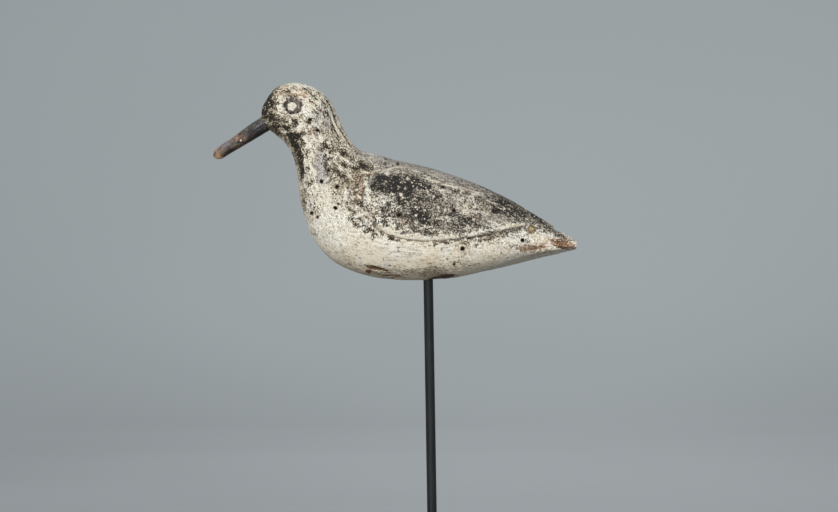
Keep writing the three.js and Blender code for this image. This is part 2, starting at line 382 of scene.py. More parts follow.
# Places and sizes of the wear on the side that the picture shows, listed in its pixels: x, y,
# half length, half width, tilt in degrees and amount. First what is left of the dark paint.
darkPaint = [
    # forehead and crown
    (268, 102, 16, 5.5, 68, 0.9), (274, 106, 3, 4, 0, 0.35), (294, 88, 3, 2, 0, 0.7),
    (285, 92, 5, 1.4, 10, 0.3), (306, 90, 2.5, 1.8, -30, 0.5), (311, 94, 2.5, 2, -40, 0.6),
    (315, 98, 3.5, 2, -40, 0.5), (320, 94, 3, 1.6, -50, 0.4), (311, 101, 1.6, 1.6, 0, 0.5),
    (318, 107, 5, 2, -55, 0.2), (324, 103, 6, 2.5, -62, 0.4), (327, 115, 6, 2.5, -60, 0.35),
    (321, 112, 3, 2, -50, 0.15), (327, 99, 6, 2, -58, 0.7), (332, 109, 5, 1.8, -62, 0.6),
    (335.5, 118, 4.5, 1.8, -65, 0.8), (334, 130, 5, 2.2, -58, 0.6), (339, 137, 3.5, 2.5, -50, 0.6),
    (343, 131, 7, 1.6, -62, 0.4),
    # before the eye
    (266, 116, 4, 6, 60, 0.5), (271, 116, 3.5, 3.5, 0, 0.5), (275, 121, 4.5, 3, 20, 0.85),
    (284, 121, 4.5, 2.2, -15, 0.8), (269, 127, 5, 3, -20, 0.75), (275, 127, 4, 2.6, 0, 0.65),
    (281, 126, 4.5, 2.2, 0, 0.8), (286, 128, 3, 2, -30, 0.8), (278, 132, 5, 2.2, -40, 0.8),
    (284, 136, 5, 2, -42, 0.5), (295, 122.5, 2.6, 3.4, 0, 1.0), (291, 127, 4, 2, 0, 0.7),
    # jaw and throat
    (301.5, 134.5, 4, 2.6, 10, 1.1), (290, 136, 5, 3.2, -40, 0.9), (297, 138, 3.5, 3.5, -60, 0.75),
    (294, 144, 6, 2.8, -50, 1.1), (299, 151, 6, 2.8, -65, 1.3), (300.5, 160, 7, 2.4, -80, 1.3),
    (302, 170, 6, 2.1, -85, 1.1), (302.5, 177, 4, 1.5, -88, 0.7), (295, 136, 4, 3, -50, 0.4),
    (303, 143, 4, 2.2, -60, 0.7), (306, 152, 6, 1.8, -70, 0.45), (308, 168, 3, 1.8, -70, 0.5),
    (310, 176, 4, 1.6, -70, 0.5), (309, 184, 3, 2.5, 0, 0.5), (304.5, 192, 4.5, 1.6, -80, 0.4),
    (304, 204, 6, 1.2, -80, 0.4), (308.5, 122, 2.5, 2.5, 0, 1.0), (315, 129, 3.5, 2, -20, 0.9),
    # side of the neck
    (325, 145.5, 4.5, 2.6, -10, 0.75), (322, 150, 3, 2, 0, 0.35), (330, 149, 3.5, 2, -20, 0.55),
    (337, 146, 4, 1.6, -10, 0.35), (331, 153, 3, 1.6, -20, 0.65), (336, 151, 3, 1.6, 0, 0.5),
    (343, 152, 4, 2.6, -20, 0.8), (347, 156, 5, 2.2, -20, 0.8), (352, 160, 3, 2.4, -30, 0.5),
    (325, 163, 3.5, 2, -30, 0.5), (331, 160, 3, 1.6, 0, 0.5), (328, 170, 2.5, 2, 0, 0.65),
    (333, 169, 3, 2.5, -30, 0.55), (338, 172, 4, 2, -50, 0.6), (341, 163, 3.5, 1.4, -50, 0.4),
    (345, 168, 4, 1.4, -50, 0.4), (343, 177, 4.5, 2.4, -35, 0.8), (347.5, 181, 3, 1.6, -40, 0.4),
    (350, 173, 4, 1.4, -40, 0.35), (344, 184, 3, 2, 0, 0.65), (331, 178, 5, 3, -50, 0.15),
    (349, 188, 2.5, 1.6, 0, 0.3), (338, 159, 4, 1.4, -40, 0.2),
    # shoulder
    (352, 167, 4, 1.6, -35, 0.45), (357, 170, 4, 2, -30, 0.55), (362, 165, 5, 3.4, -20, 0.95),
    (370, 168, 4.5, 2.4, -15, 0.8), (365, 171, 5, 2, -20, 0.55), (372, 174, 5, 1.4, -10, 0.4),
    (357, 176, 4, 1.6, -30, 0.4), (353, 181, 4, 2.2, -30, 0.55), (354, 187, 3.5, 2.2, 0, 0.65),
    (361, 180, 3, 2, -60, 0.4), (355, 193, 3, 2, 0, 0.55), (361, 192, 2, 4, 0, 0.3),
    (350, 193, 1.5, 1.5, 0, 0.25), (357, 202, 3.5, 2.6, 0, 0.7), (361.5, 205, 3, 3, -30, 0.8),
    (350, 204, 3, 1.6, -20, 0.4), (344, 202, 2.5, 1.5, 0, 0.35), (350, 210, 2, 2, 0, 0.4),
    (354, 214, 2.5, 2, 0, 0.55), (359, 218, 3, 2.4, 0, 0.3), (354, 225, 3, 2, 0, 0.5),
    (352, 219, 2.5, 2, 0, 0.3), (359, 226, 2, 2, 0, 0.3), (367.5, 209, 5, 1.6, -55, 0.7),
    (372, 216, 6, 1.5, -50, 0.65), (366, 232, 2.5, 2, 0, 0.6), (371, 231, 4, 2, -25, 0.65),
    (374.5, 235.5, 2.8, 2, -30, 0.6), (367, 226.5, 3, 1.3, -40, 0.65), (373, 239.5, 1.5, 1.5, 0, 0.55),
    # wing
    (387, 185, 15, 6.5, -3, 1.1), (376, 184, 5, 6, 0, 0.5), (397, 178, 14, 2.4, 3, 0.5),
    (413, 182, 8, 7, 0, 0.7), (427, 186, 7, 3.5, -25, 0.7), (404, 190, 8, 5, 0, 0.6),
    (392, 192, 8, 2, -5, 0.6), (410, 197, 11, 5, 0, 0.5), (402, 202, 6, 4, 0, 0.5),
    (422, 213, 10, 7.5, -15, 0.75), (409, 214, 8, 5, 0, 0.5), (425, 200, 8, 4, 0, 0.45),
    (385, 213, 6, 4, 0, 0.4), (386, 206, 6, 2.5, -20, 0.3), (396, 214, 4, 4, 0, 0.3),
    (437, 197, 5, 3, 0, 0.5), (441, 204, 6, 3.5, -20, 0.25), (419, 229, 8, 3, 0, 0.35),
    (409, 223, 6, 2.5, -15, 0.25), (388, 223, 5, 2, -30, 0.15), (438, 224, 9, 3.6, 0, 0.55),
    (456, 226, 6, 3.2, 0, 0.5), (466, 219.5, 10, 4.2, -8, 0.65), (453, 216, 5, 2.5, 0, 0.4),
    (470, 214, 2.2, 1.8, 0, 0.5), (479, 225.5, 7, 2, -3, 0.5), (441, 214, 7, 2, -5, 0.15),
    (441, 186, 4, 2, 0, 0.5), (455, 192, 4, 2.2, -10, 0.65), (467, 193, 4.5, 2.2, -15, 0.65),
    (479, 198.5, 4, 1.2, -10, 0.5), (489, 198, 4, 1.5, -20, 0.4), (379, 201, 9, 6, 0, -0.15),
    (368, 198, 2.5, 10, 0, -0.3), (462, 206, 10, 5, -10, -0.3), (492, 221, 14, 5, 15, -0.35),
    (450, 186, 14, 2.5, -12, -0.3), (408, 180, 1.8, 1.5, 0, -0.9), (401, 195, 2.2, 2.4, 0, -0.9),
    (387, 175.5, 2, 1.5, 0, -0.9), (405, 189, 1.5, 1.2, 0, -0.8), (427, 192.5, 1.8, 1.2, 0, -0.8),
    (406, 208, 4, 1.6, -15, -0.5),
    # towards the tail
    (508, 205, 27, 8, -34, 0.85), (544, 223.5, 13, 3.2, -38, 0.75), (508, 214, 10, 3.5, -20, 0.3),
    (561, 235, 10, 1.8, -38, 0.5), (385, 158, 25, 1.5, -9, 0.3), (430, 168, 28, 1.5, -16, 0.35),
    (475, 183.5, 25, 1.5, -24, 0.35),
    # under the wing
    (392, 237, 3.5, 2.6, 0, 0.9), (382, 234, 2.5, 1.8, -30, 0.5), (398, 240.5, 2.5, 1.3, 0, 0.8),
    (409, 241.5, 2, 1.3, 0, 0.8), (423, 244, 2, 1.5, 0, 0.8), (434.5, 244.5, 1.5, 2, 0, 0.9),
    (444, 243, 5, 1.5, -5, 0.6), (465, 243, 3, 1.6, 0, 0.5), (480, 241.5, 2, 2.5, 0, 0.6),
    (488, 239, 5, 1.8, 10, 0.7), (488, 232.5, 6, 2.2, 10, 0.55), (499, 235.5, 6, 2, 12, 0.45),
    (508, 231, 6, 2.4, 10, 0.5), (519, 228.5, 6, 2, 8, 0.35), (477, 245, 3, 1, 20, 0.5),
    # later touches, all over the bird
    (335, 145, 5, 4, -30, 0.45), (325, 156, 4, 3, -50, 0.45), (325, 166, 4, 3, -50, 0.45),
    (345, 165, 4, 3, -40, 0.45), (365, 176, 4, 2.5, -20, 0.4), (314, 106, 3, 6, 0, 0.25),
    (325, 124, 3, 4, -60, 0.4), (355, 225, 4, 3, 0, 0.35), (363.5, 200, 1.5, 8, 0, 0.4),
    (374, 224, 3, 2.5, -45, 0.6), (445, 186, 5, 3, -10, 0.5), (450, 205, 5, 3, 0, 0.3),
    (495, 204, 5, 3, -20, 0.3), (325, 93, 4, 3, -50, -0.3), (335, 155, 3, 3, 0, -0.2),
    (345, 195, 3, 3, 0, -0.25), (374, 214, 3, 3, 0, -0.3), (444, 235, 5, 2, 0, -0.3),
    (414, 243, 8, 2, 0, -0.3), (543, 237, 9, 4, -20, -0.25), (391, 239, 3, 2, 0, 0.8),
    (548, 240, 10, 4, -10, -0.2), (425, 189, 5, 4, 0, 0.4), (400, 198, 6, 4, 0, 0.3),
    (377, 184, 4, 6, 0, 0.25), (385, 208, 5, 5, 0, 0.3), (420, 218, 7, 3, 0, 0.3),
    (490, 207, 7, 5, -20, 0.4), (485, 198, 5, 3, -20, 0.3), (355, 169, 4, 3, -20, 0.4),
    (340, 175, 5, 4, -30, 0.25), (460, 178, 8, 3, -20, 0.3), (268, 118, 5, 4, 0, 0.3),
    (297, 84, 8, 3, 0, -0.3), (350, 216, 6, 6, 0, 0.25), (300, 134, 4, 3, -50, -0.25),
    (390, 227, 5, 3, 0, -0.2), (480, 232, 8, 2, -8, -0.2), (470, 214, 8, 3, 0, -0.15),
    (295, 158, 3, 4, 0, 0.35), (275, 133, 4, 2.5, -30, 0.3), (295, 163, 3, 5, -80, 0.6),
    (365, 204, 2.5, 5, 0, 0.35), (384, 224, 5, 3, -35, 0.25), (384, 183, 3, 5, 0, 0.3),
    (424, 222, 5, 3, 0, 0.3), (335, 166, 4, 3, -40, 0.35), (315, 175, 3, 4, 0, -0.25),
    (355, 215, 4, 4, 0, -0.2), (412, 236, 8, 2.5, -5, -0.15), (394, 236, 5, 2.5, -20, -0.1),
    (497, 216, 10, 4, -6, -0.12), (316, 196, 4, 4, 0, 0.2), (463, 237, 9, 1.5, -8, 0.4),
    (287, 93, 5, 2.5, -10, 0.3), (274, 115, 3.5, 4, 0, 0.3), (264, 102, 3.5, 5, 0, 0.3),
    (294, 135, 4, 3, 0, 0.3), (315, 115, 4, 4, -40, 0.25), (325, 175, 4, 4, 0, 0.25),
    (335, 195, 4, 4, 0, 0.25), (316, 205, 5, 4, 0, 0.2), (366, 195, 2.5, 4, 0, 0.3),
    (374, 225, 4, 3, -40, 0.35), (385, 165, 5, 3, 0, 0.25), (386, 188, 4, 4, 0, 0.3),
    (404, 206, 4, 4, 0, 0.3), (404, 226, 5, 3, 0, 0.25), (426, 233, 5, 3, 0, 0.3),
    (345, 165, 4, 3, -40, 0.2), (314, 235, 4, 3, 0, 0.12), (294, 114, 3, 3, 0, -0.25),
    (304, 135, 4, 3, 0, -0.3), (335, 145, 3, 3, 0, -0.25), (313, 155, 3, 3, 0, -0.25),
    (314, 174, 4, 4, 0, -0.3), (303, 186, 3, 4, 0, -0.25), (416, 174, 5, 3, -15, -0.3),
    (430, 184, 8, 3, -15, -0.2), (446, 194, 5, 3, -15, -0.25), (468, 194, 8, 3, -20, -0.25),
    (426, 205, 4, 4, 0, -0.25), (485, 206, 4, 3, -20, -0.3), (466, 214, 6, 3, 0, -0.3),
    (445, 225, 5, 3, 0, -0.3), (344, 225, 4, 4, 0, -0.2), (375, 156, 8, 3, -15, -0.2),
    (564, 232, 4, 3, -35, -0.3), (540, 246, 12, 4, 5, -0.3), (287, 143, 3, 4, 0, 0.3),
    (297, 147, 3, 5, -10, 0.3), (301, 155, 2.5, 5, 0, 0.3), (293, 153, 2, 4, 0, 0.3),
    (354, 145, 4, 4, 0, 0.25), (375, 174, 5, 3, -10, 0.3), (385, 184, 5, 4, 0, 0.4),
    (414, 184, 4, 4, 0, 0.3), (365, 195, 2, 4, 0, 0.2), (366, 206, 2.5, 4, 0, 0.35),
    (387, 193, 4, 3, 0, 0.2), (415, 205, 4, 4, 0, 0.25), (495, 213, 5, 3, 0, 0.25),
    (525, 214, 4, 3, -35, 0.3), (534, 216, 4, 3, -35, 0.35), (304, 205, 2.5, 6, 0, 0.2),
    (304, 214, 2.5, 5, 0, 0.2), (545, 233, 4, 2.5, 0, 0.25), (325, 255, 3, 1.5, -30, 0.3),
    (304, 94, 4, 3, 0, -0.2), (295, 91, 4, 2.5, 0, -0.15), (324, 96, 3, 3, 0, -0.25),
    (345, 214, 4, 4, 0, -0.25), (354, 214, 3, 4, 0, -0.2), (498, 224, 8, 3, -5, -0.2),
    (262, 104, 3, 8, 12, 0.35), (266, 95, 4, 4, -40, 0.3), (271, 107, 3, 5, 0, 0.15),
    (383, 180, 8, 4, -25, 0.45), (386, 187, 14, 5, -6, 0.25), (404, 200, 10, 7, 0, 0.12),
    (376, 190, 4, 5, 0, 0.15), (357, 153, 4, 3, 0, 0.3), (302, 150, 2.5, 8, -8, 0.25),
    (312, 205, 3, 4, 0, 0.25), (366, 225, 4, 3, -40, 0.25), (384, 224, 4, 3, -30, 0.25),
    (393, 204, 4, 4, 0, 0.2), (424, 224, 5, 3, 0, 0.4), (294, 97, 3, 3, 0, 0.3), (294, 105, 2, 4, 0, 0.1),
    (314, 178, 3, 3, 0, 0.1), (345, 174, 4, 3, -40, 0.2), (455, 213, 5, 3, 0, 0.2),
    (465, 204, 5, 3, -20, 0.2), (504, 204, 4, 3, -30, 0.2), (460, 186, 6, 2.5, -20, 0.3),
    (472, 188, 6, 2.5, -20, 0.35), (545, 232, 4, 3, 0, 0.15), (524, 226, 4, 3, 0, 0.15),
    (414, 236, 5, 3, 0, -0.2), (384, 206, 3, 4, 0, -0.2), (434, 225, 4, 3, 0, -0.2),
    (485, 214, 3, 3, 0, -0.3), (315, 126, 4, 4, 0, -0.25), (325, 126, 4, 3, 0, -0.2),
    (342, 137, 3, 3, 0, -0.2), (555, 236, 4, 2.5, -30, -0.25), (384, 184, 9, 5, -12, 0.6),
    (388, 164, 5, 3, -10, 0.2), (415, 164, 5, 3, -10, 0.3), (415, 184, 4, 3, 0, 0.25),
    (365, 204, 2, 4, 0, 0.2), (275, 132, 4, 3, -30, 0.2), (294, 104, 3, 4, 0, 0.15),
    (327, 115, 4, 4, 0, 0.25), (334, 123, 3, 3, 0, 0.2), (318, 213, 4, 3, 0, 0.1),
    (495, 212, 5, 3, 0, 0.2), (514, 212, 4, 3, -30, 0.15), (404, 223, 4, 3, 0, 0.2),
    (396, 212, 4, 3, 0, 0.2), (283, 93, 4, 3, 0, -0.2), (314, 104, 4, 4, 0, -0.3),
    (306, 104, 3, 3, 0, -0.15), (314, 174, 3, 3, 0, -0.3), (305, 162, 3, 3, 0, -0.25),
    (394, 194, 5, 3, 0, -0.35), (374, 194, 3, 3, 0, -0.15), (424, 184, 4, 3, 0, -0.2),
    (424, 213, 5, 3, 0, -0.25), (414, 213, 4, 3, 0, -0.2), (464, 195, 5, 3, -20, -0.15),
    (355, 244, 5, 3, 0, -0.15), (375, 244, 8, 2.5, 0, -0.15), (410, 244, 8, 2.5, 0, -0.2),
    (384, 186, 8, 4, -12, -0.15), (275, 133, 3, 3, 0, 0.15), (284, 143, 4, 3, -30, 0.15),
    (304, 133, 3, 3, 0, 0.15), (304, 143, 3, 3, 0, 0.15), (314, 155, 3, 3, 0, 0.2),
    (304, 175, 3, 5, 0, 0.15), (393, 202, 6, 5, 0, 0.2), (404, 182, 4, 3, 0, 0.2),
    (404, 192, 4, 3, 0, 0.1), (415, 172, 4, 3, 0, 0.15), (419, 163, 4, 3, 0, 0.2),
    (503, 203, 4, 3, -30, 0.2), (364, 213, 2.5, 4, 0, 0.2), (413, 214, 4, 3, 0, 0.2),
    (362, 202, 2.5, 4, 0, -0.2), (492, 214, 4, 3, 0, 0.15), (541, 224, 4, 3, -20, 0.15),
    (300, 180, 4, 4, 0, 0.1), (384, 183, 6, 4, 0, 0.3), (393, 203, 7, 6, 0, -0.35),
    (393, 193, 5, 3, 0, -0.2), (404, 183, 5, 4, 0, -0.25), (405, 174, 5, 3, 0, -0.15),
    (414, 175, 5, 4, 0, -0.25), (414, 215, 5, 3, 0, -0.25), (364, 203, 3, 4, 0, 0.3),
    (354, 214, 3, 4, 0, 0.25), (334, 123, 3, 3, 0, 0.15), (364, 222, 4, 3, 0, 0.15),
    (404, 233, 5, 2, 0, 0.25), (424, 233, 6, 2, 0, 0.25), (372, 217, 4, 3, 0, 0.2),
    (306, 144, 4, 4, 0, -0.3), (313, 154, 4, 4, 0, -0.35), (303, 133, 3, 3, 0, -0.2),
    (283, 133, 3, 3, 0, -0.15), (284, 143, 3, 3, 0, -0.2), (295, 144, 3, 3, 0, 0.2),
    (532, 232, 3, 2, 0, 0.2), (297, 122, 4, 3, 0, 0.15), (294, 104, 3, 4, 0, 0.15),
    (499, 211, 6, 5, 0, 0.12), (295, 147, 2.5, 4, 0, 0.2), (300, 154, 2.5, 4, 0, 0.2),
    (302, 166, 2, 6, 0, 0.15), (394, 203, 6, 5, 0, 0.1), (384, 194, 4, 3, 0, 0.1),
    (364, 203, 3, 3, 0, -0.1), (403, 176, 4, 3, 0, 0.1), (360, 213, 3, 3, 0, -0.1),
    (294, 103, 3, 4, 0, 0.2), (326, 116, 3, 4, 0, 0.15), (402, 162, 4, 2, 0, 0.15),
    (415, 166, 5, 2.5, 0, -0.2), (440, 175, 5, 2.5, -25, -0.25), (470, 187, 7, 1.6, -28, 0.2),
    (455, 180, 7, 1.6, -26, 0.2), (486, 203, 6, 1.6, -25, 0.2), (294, 103, 3, 4, 0, 0.2),
    (333, 124, 3, 3, 0, 0.2), (316, 234, 4, 4, 0, 0.1), (415, 165, 5, 3, 0, 0.25),
    (363, 213, 3, 3, 0, -0.2), (354, 233, 5, 3, 0, -0.1), (404, 162, 5, 3, 0, 0.1),
    (326, 115, 3, 4, 0, 0.05), (303, 155, 3, 4, 0, 0.15), (285, 83, 4, 2, 0, 0.15),
]
# Its lower edge, in millimetres from where the rod enters.
darkEdge = [(-100, 60), (-90, 130), (-80, 100), (-76, 72), (-66, 62), (-55, 52), (-45, 40), (-30, 32),
            (-15, 26), (20, 22), (50, 25), (92, 28)]

# Then the thin wash of paint that it wore down to, in the picture's pixels, with its own lower edge
# in millimetres. The marks low on the belly and along the tail's lower flank darken those edges, partly
# as dirt and partly as painted shade.
wash = [
    (281, 104, 4, 12, 10, -0.3), (296, 83, 9, 3.5, 0, -0.25), (309, 108, 8, 8, 0, -0.4),
    (316, 98, 8, 6, -40, -0.25), (309, 150, 5, 24, 4, -0.35), (329, 122, 6, 5, -50, 0.1),
    (327, 132, 8, 5, -50, 0.1), (316, 188, 6, 8, -15, -0.35), (328, 196, 10, 7, -30, -0.25),
    (318, 165, 4, 14, 10, 0.2), (357, 180, 8, 8, -40, 0.15), (306, 195, 5, 16, 0, 0.3),
    (311, 218, 5, 8, -20, 0.3), (368, 200, 3.5, 11, 10, -0.5), (358, 218, 9, 9, -40, 0.2),
    (375, 226, 12, 6, -30, 0.1), (300, 126, 6, 5, 0, -0.25), (400, 164, 40, 6, -10, 0.45),
    (455, 178, 34, 7, -20, 0.45), (420, 200, 50, 18, -8, 0.12), (494, 218, 14, 6, 10, 0.5),
    (458, 243, 16, 4, 8, 0.25), (500, 235, 32, 5, 12, 0.2), (535, 243, 14, 5, 8, 0.2),
    (556, 231, 14, 4, -35, 0.75), (558, 243, 14, 4, 10, 0.3), (408, 271, 14, 2.2, -6, 0.3),
    (440, 269, 12, 1.8, 8, 0.22), (543, 237, 10, 4, -20, -0.35), (316, 168, 5, 20, 0, 0.25),
    (386, 209, 11, 13, -20, -0.35), (376, 222, 10, 6, -35, -0.3), (535, 247, 13, 2.5, 8, 0.3),
    (297, 85, 10, 4, 0, -0.3), (405, 226, 25, 4, -4, -0.3), (497, 216, 12, 4, -6, -0.15),
    (345, 196, 6, 6, 0, 0.1), (375, 155, 10, 3, -12, -0.3), (537, 247.5, 6, 1.2, 5, 0.4),
    (527, 248, 5, 1, 5, 0.35), (395, 276, 22, 1.8, 4, 0.35), (428, 274, 12, 2.2, -2, 0.4),
    (447, 271, 8, 2, 12, 0.3), (366, 272, 10, 2, -14, 0.25), (355, 242, 16, 4, -10, -0.1),
    (412, 245, 14, 3, 0, -0.15), (532, 248.5, 17, 3.2, -7, 0.8), (436, 274, 10, 2.4, 4, 0.4),
    (378, 273, 12, 2, 2, 0.3), (354, 262, 8, 2.5, 25, 0.3), (525, 253, 14, 3, -10, 0.35),
    (431, 270, 15, 5, 0, 0.45), (385, 273, 12, 3, 3, 0.3), (460, 262, 14, 5, -8, 0.3),
]
washEdge = [(-100, 42), (-84, 42), (-77, 58), (-66, 61), (-55, 45), (-45, 40), (-30, 33.5), (-15, 28),
            (20, 23.5), (92, 28)]

# Strokes and specks from which all of it is rubbed off, in the picture's pixels. The long stroke at
# (511, 226.5), along the wing's lower lip, is partly a painted highlight.
paleStrokes = [
    (432, 181.5, 13, 0.9, -16, 0.8), (452, 187.5, 12, 0.9, -10, 0.8), (470, 190.5, 10, 0.9, -14, 0.8),
    (440, 191, 8, 0.8, -12, 0.7), (482, 196, 7, 0.9, -25, 0.7), (366, 172.5, 8, 0.9, -14, 0.9),
    (386, 171.5, 9, 0.8, 22, 0.75), (402, 168.5, 9, 0.8, 2, 0.7), (334, 124, 7, 1.1, -66, 0.9),
    (338.5, 134, 5, 1, -60, 0.7), (347, 171, 6, 0.9, -50, 0.7), (351, 178, 5, 0.9, -45, 0.7),
    (341, 167, 4, 0.8, -50, 0.6), (511, 226.5, 15, 1.2, 8, 1), (490, 203, 9, 1, -16, 0.7),
    (498, 208.5, 7, 0.9, -28, 0.6), (462, 199, 9, 0.9, -8, 0.6), (436, 219, 9, 0.8, 8, 0.5),
    (420, 235, 14, 0.9, -4, 0.5), (303, 152, 4, 0.9, -60, 0.8),
    # bare specks on the wing
    (407, 180, 1.2, 1.05, 0, 1), (401, 195, 1.6, 1.4, 0, 1), (405, 189, 1.1, 0.9, 0, 1),
    (399, 188.5, 0.9, 0.8, 0, 0.9), (386, 182, 1.1, 0.9, 0, 0.9), (427, 192, 1.2, 0.8, -30, 0.9),
    (413, 187, 0.9, 0.8, 0, 0.9), (391, 198, 0.9, 0.8, 0, 0.8), (384, 204, 1.2, 0.9, 0, 0.8),
    (412, 207, 0.9, 0.8, 0, 0.8), (408, 213, 0.9, 0.8, 0, 0.8), (420, 203, 0.9, 0.8, 0, 0.8),
]

# Where the wash is grey and violet, not brown, in millimetres from where the rod enters: x, z, half
# length, half width, tilt in degrees and amount. Bare wood and warm stain are given in the same way.
greyFilm = [
    (-17.4, 78.0, 28.0, 6.0, -15, 0.9),      # along the back
    (15.5, 66.5, 26.0, 6.5, -24, 0.9),
    (50.0, 51.0, 24.0, 7.0, -31, 0.9),
    (78.0, 34.0, 14.0, 5.0, -35, 0.8),
    (-68.5, 74.0, 4.5, 11.0, 0, 0.9),        # neck
    (-66.0, 110.0, 7.0, 9.0, 0, 0.7),
    (43.0, 40.0, 12.0, 4.5, 5, 1.0),         # wing
    (10.0, 50.0, 16.0, 6.0, -20, 0.6),
    (-20.0, 71.0, 12.0, 3.0, 0, 0.8),
]
bareWood = [
    (89.0, 22.3, 6.6, 2.7, -9, 1.5),         # end of the tail
    (70.6, 19.7, 6.4, 1.3, 5, 1.0),
    (-33.6, 8.0, 8.2, 1.1, -14, 1.1),        # belly
    (-38.4, 6.2, 2.4, 1.1, -10, 0.9),
    (-23.8, 3.0, 6.4, 0.9, -5, 0.8),
    (9.6, 1.7, 8.6, 1.4, 7, 1.2),            # beside the rod
]
warmStain = [
    (-84.5, 125.0, 8.0, 2.8, -18, 1.0),      # above the eye
    (-95.0, 125.0, 4.0, 2.5, 0, 0.5),
    (-77.0, 97.0, 5.0, 3.5, -40, 0.5),
    (-45.0, 64.0, 4.5, 7.0, 0, 0.75),        # shoulder
    (0.0, 14.0, 8.0, 4.5, 0, 0.5),           # belly
    (24.0, 21.0, 5.0, 4.0, 0, 0.6),
    (66.0, 20.2, 14.0, 3.2, 5, 0.9),
    (80.0, 23.5, 8.0, 3.5, -10, 0.45),
    (30.0, 58.0, 22.0, 4.0, -22, 0.35),      # wing
    (28.0, 44.0, 7.0, 3.0, -20, 0.4),
    (-14.0, 40.0, 6.0, 4.0, -20, 0.4),
    (-38.0, 44.0, 4.0, 7.0, 35, 0.45),
]

# Shot holes: x, z and radius on the bird's left side, then on its right.
leftHoles = [
    (-76.0, 106.8, 1.1), (-71.1, 99.7, 1), (-69.0, 66.0, 1.35), (-58.8, 62.1, 1.3), (-64.5, 73.3, 1),
    (-60.0, 48.2, 1.3), (-75.8, 45.3, 1.2), (-18.9, 76.7, 0.9), (-18.5, 42.8, 1.4), (17.4, 45.1, 1.35),
    (22.6, 20.3, 1.4), (62.2, 25.2, 1.4), (17.0, 10.2, 0.8),
]
rightHoles = [(-72.0, 92.0, 1.3), (-58.0, 57.0, 1.2), (-9.0, 31.0, 1.3), (31.0, 47.0, 1.2), (58.0, 28.0, 1.3)]
smallPits = [(-58.1, 50.9, 0.7), (-72.0, 42.7, 1)]


def bodyShape():
    # Between the low line and the high line of the sections, a rounded square wave carries each ring
    # up and out: low + (high - low) * s, with s above and below its widest place, and y = half width
    # * wave. The tail's underside is cut to a flat rise from the keel, and its end is rounded over.
    low, high = (np.array([row[k] for row in bodySections]) for k in (0, 1))
    wide = np.array([row[2:] for row in bodySections])
    box = [np.array(corner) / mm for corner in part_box("bird_body")]
    dense = np.linspace(0, len(low) - 1, 6000)
    lowLine, highLine = throughPoints(low, dense), throughPoints(high, dense)
    reach = [np.vstack([lowLine, highLine]).min(0), np.vstack([lowLine, highLine]).max(0)]
    length = (box[1][0] - box[0][0]) / (reach[1][0] - reach[0][0])
    belly = box[0][2] - reach[0][1] * length
    moves = 0.5 * sum(np.linalg.norm(np.diff(line, axis=0), axis=1) for line in (lowLine, highLine))
    path = np.concatenate([[0], np.cumsum(moves)])
    capSteps = 10
    steps = bird["rings"] - capSteps
    t = np.interp(np.linspace(0, path[-1], steps + 1)[1:], path, dense)
    lowLine = throughPoints(low, t) * length
    highLine = throughPoints(high, t) * length
    half, widest = throughPoints(wide, t).T[:, :, None]
    half = half * length
    angle = np.linspace(0, 2 * math.pi, bird["around"], endpoint=False)
    up = rounded(np.sin(angle), bird["squareness"])
    out = rounded(np.cos(angle), bird["squareness"])
    s = widest + up * np.where(up > 0, 1 - widest, widest)
    x = lowLine[:, :1] + (highLine - lowLine)[:, :1] * s
    z = lowLine[:, 1:] + (highLine - lowLine)[:, 1:] * s
    y = half * out
    keel = lowLine[:, 1:] + bird["keelSlope"] * ease(15, 70, x) * np.abs(y)
    z = keel + 0.5 * (z - keel + np.sqrt((z - keel) ** 2 + 0.12 * ease(10, 30, x)))
    rings = np.stack([x, y, z + belly], axis=-1)
    centre = rings[-1].mean(axis=0)
    share = np.arange(1, capSteps + 1) / capSteps
    turn = np.clip(share * 2, 0, 1)[:, None, None] * 0.5 * math.pi
    inset = bird["tailRound"] * (1 - np.cos(turn)) / 6 + 0.84 * np.clip(share * 2 - 1, 0, 1)[:, None, None]
    cap = rings[-1] + (centre - rings[-1]) * inset + np.array([1, 0, 0]) * bird["tailRound"] * np.sin(turn)
    along = np.concatenate([np.linspace(0, path[-1], steps + 1)[1:] * length, path[-1] * length + share * 3])
    return np.concatenate([rings, cap]), along, angle, length, belly


def sideOf(points):
    # 1 on the bird's right, which the wear leaves plainer, and 0 on its left.
    return ease(-2, 2, points[..., 1])


def inPicture(x, y, z):
    # Where the picture shows a place of the bird, in pixels: turned by the lean about the point where
    # the rod enters, then spread from the picture's middle by distance / (distance - |y|).
    cosine, sine = math.cos(math.radians(picture["lean"])), math.sin(math.radians(picture["lean"]))
    across = picture["rodEnters"][0] + (x * cosine - z * sine) / picture["pixel"]
    down = picture["rodEnters"][1] - (x * sine + z * cosine) / picture["pixel"]
    middleX, middleY = (0.5 * side for side in picture["size"])
    spread = picture["distance"] / (picture["distance"] - np.abs(y))
    return middleX + (across - middleX) * spread, middleY + (down - middleY) * spread


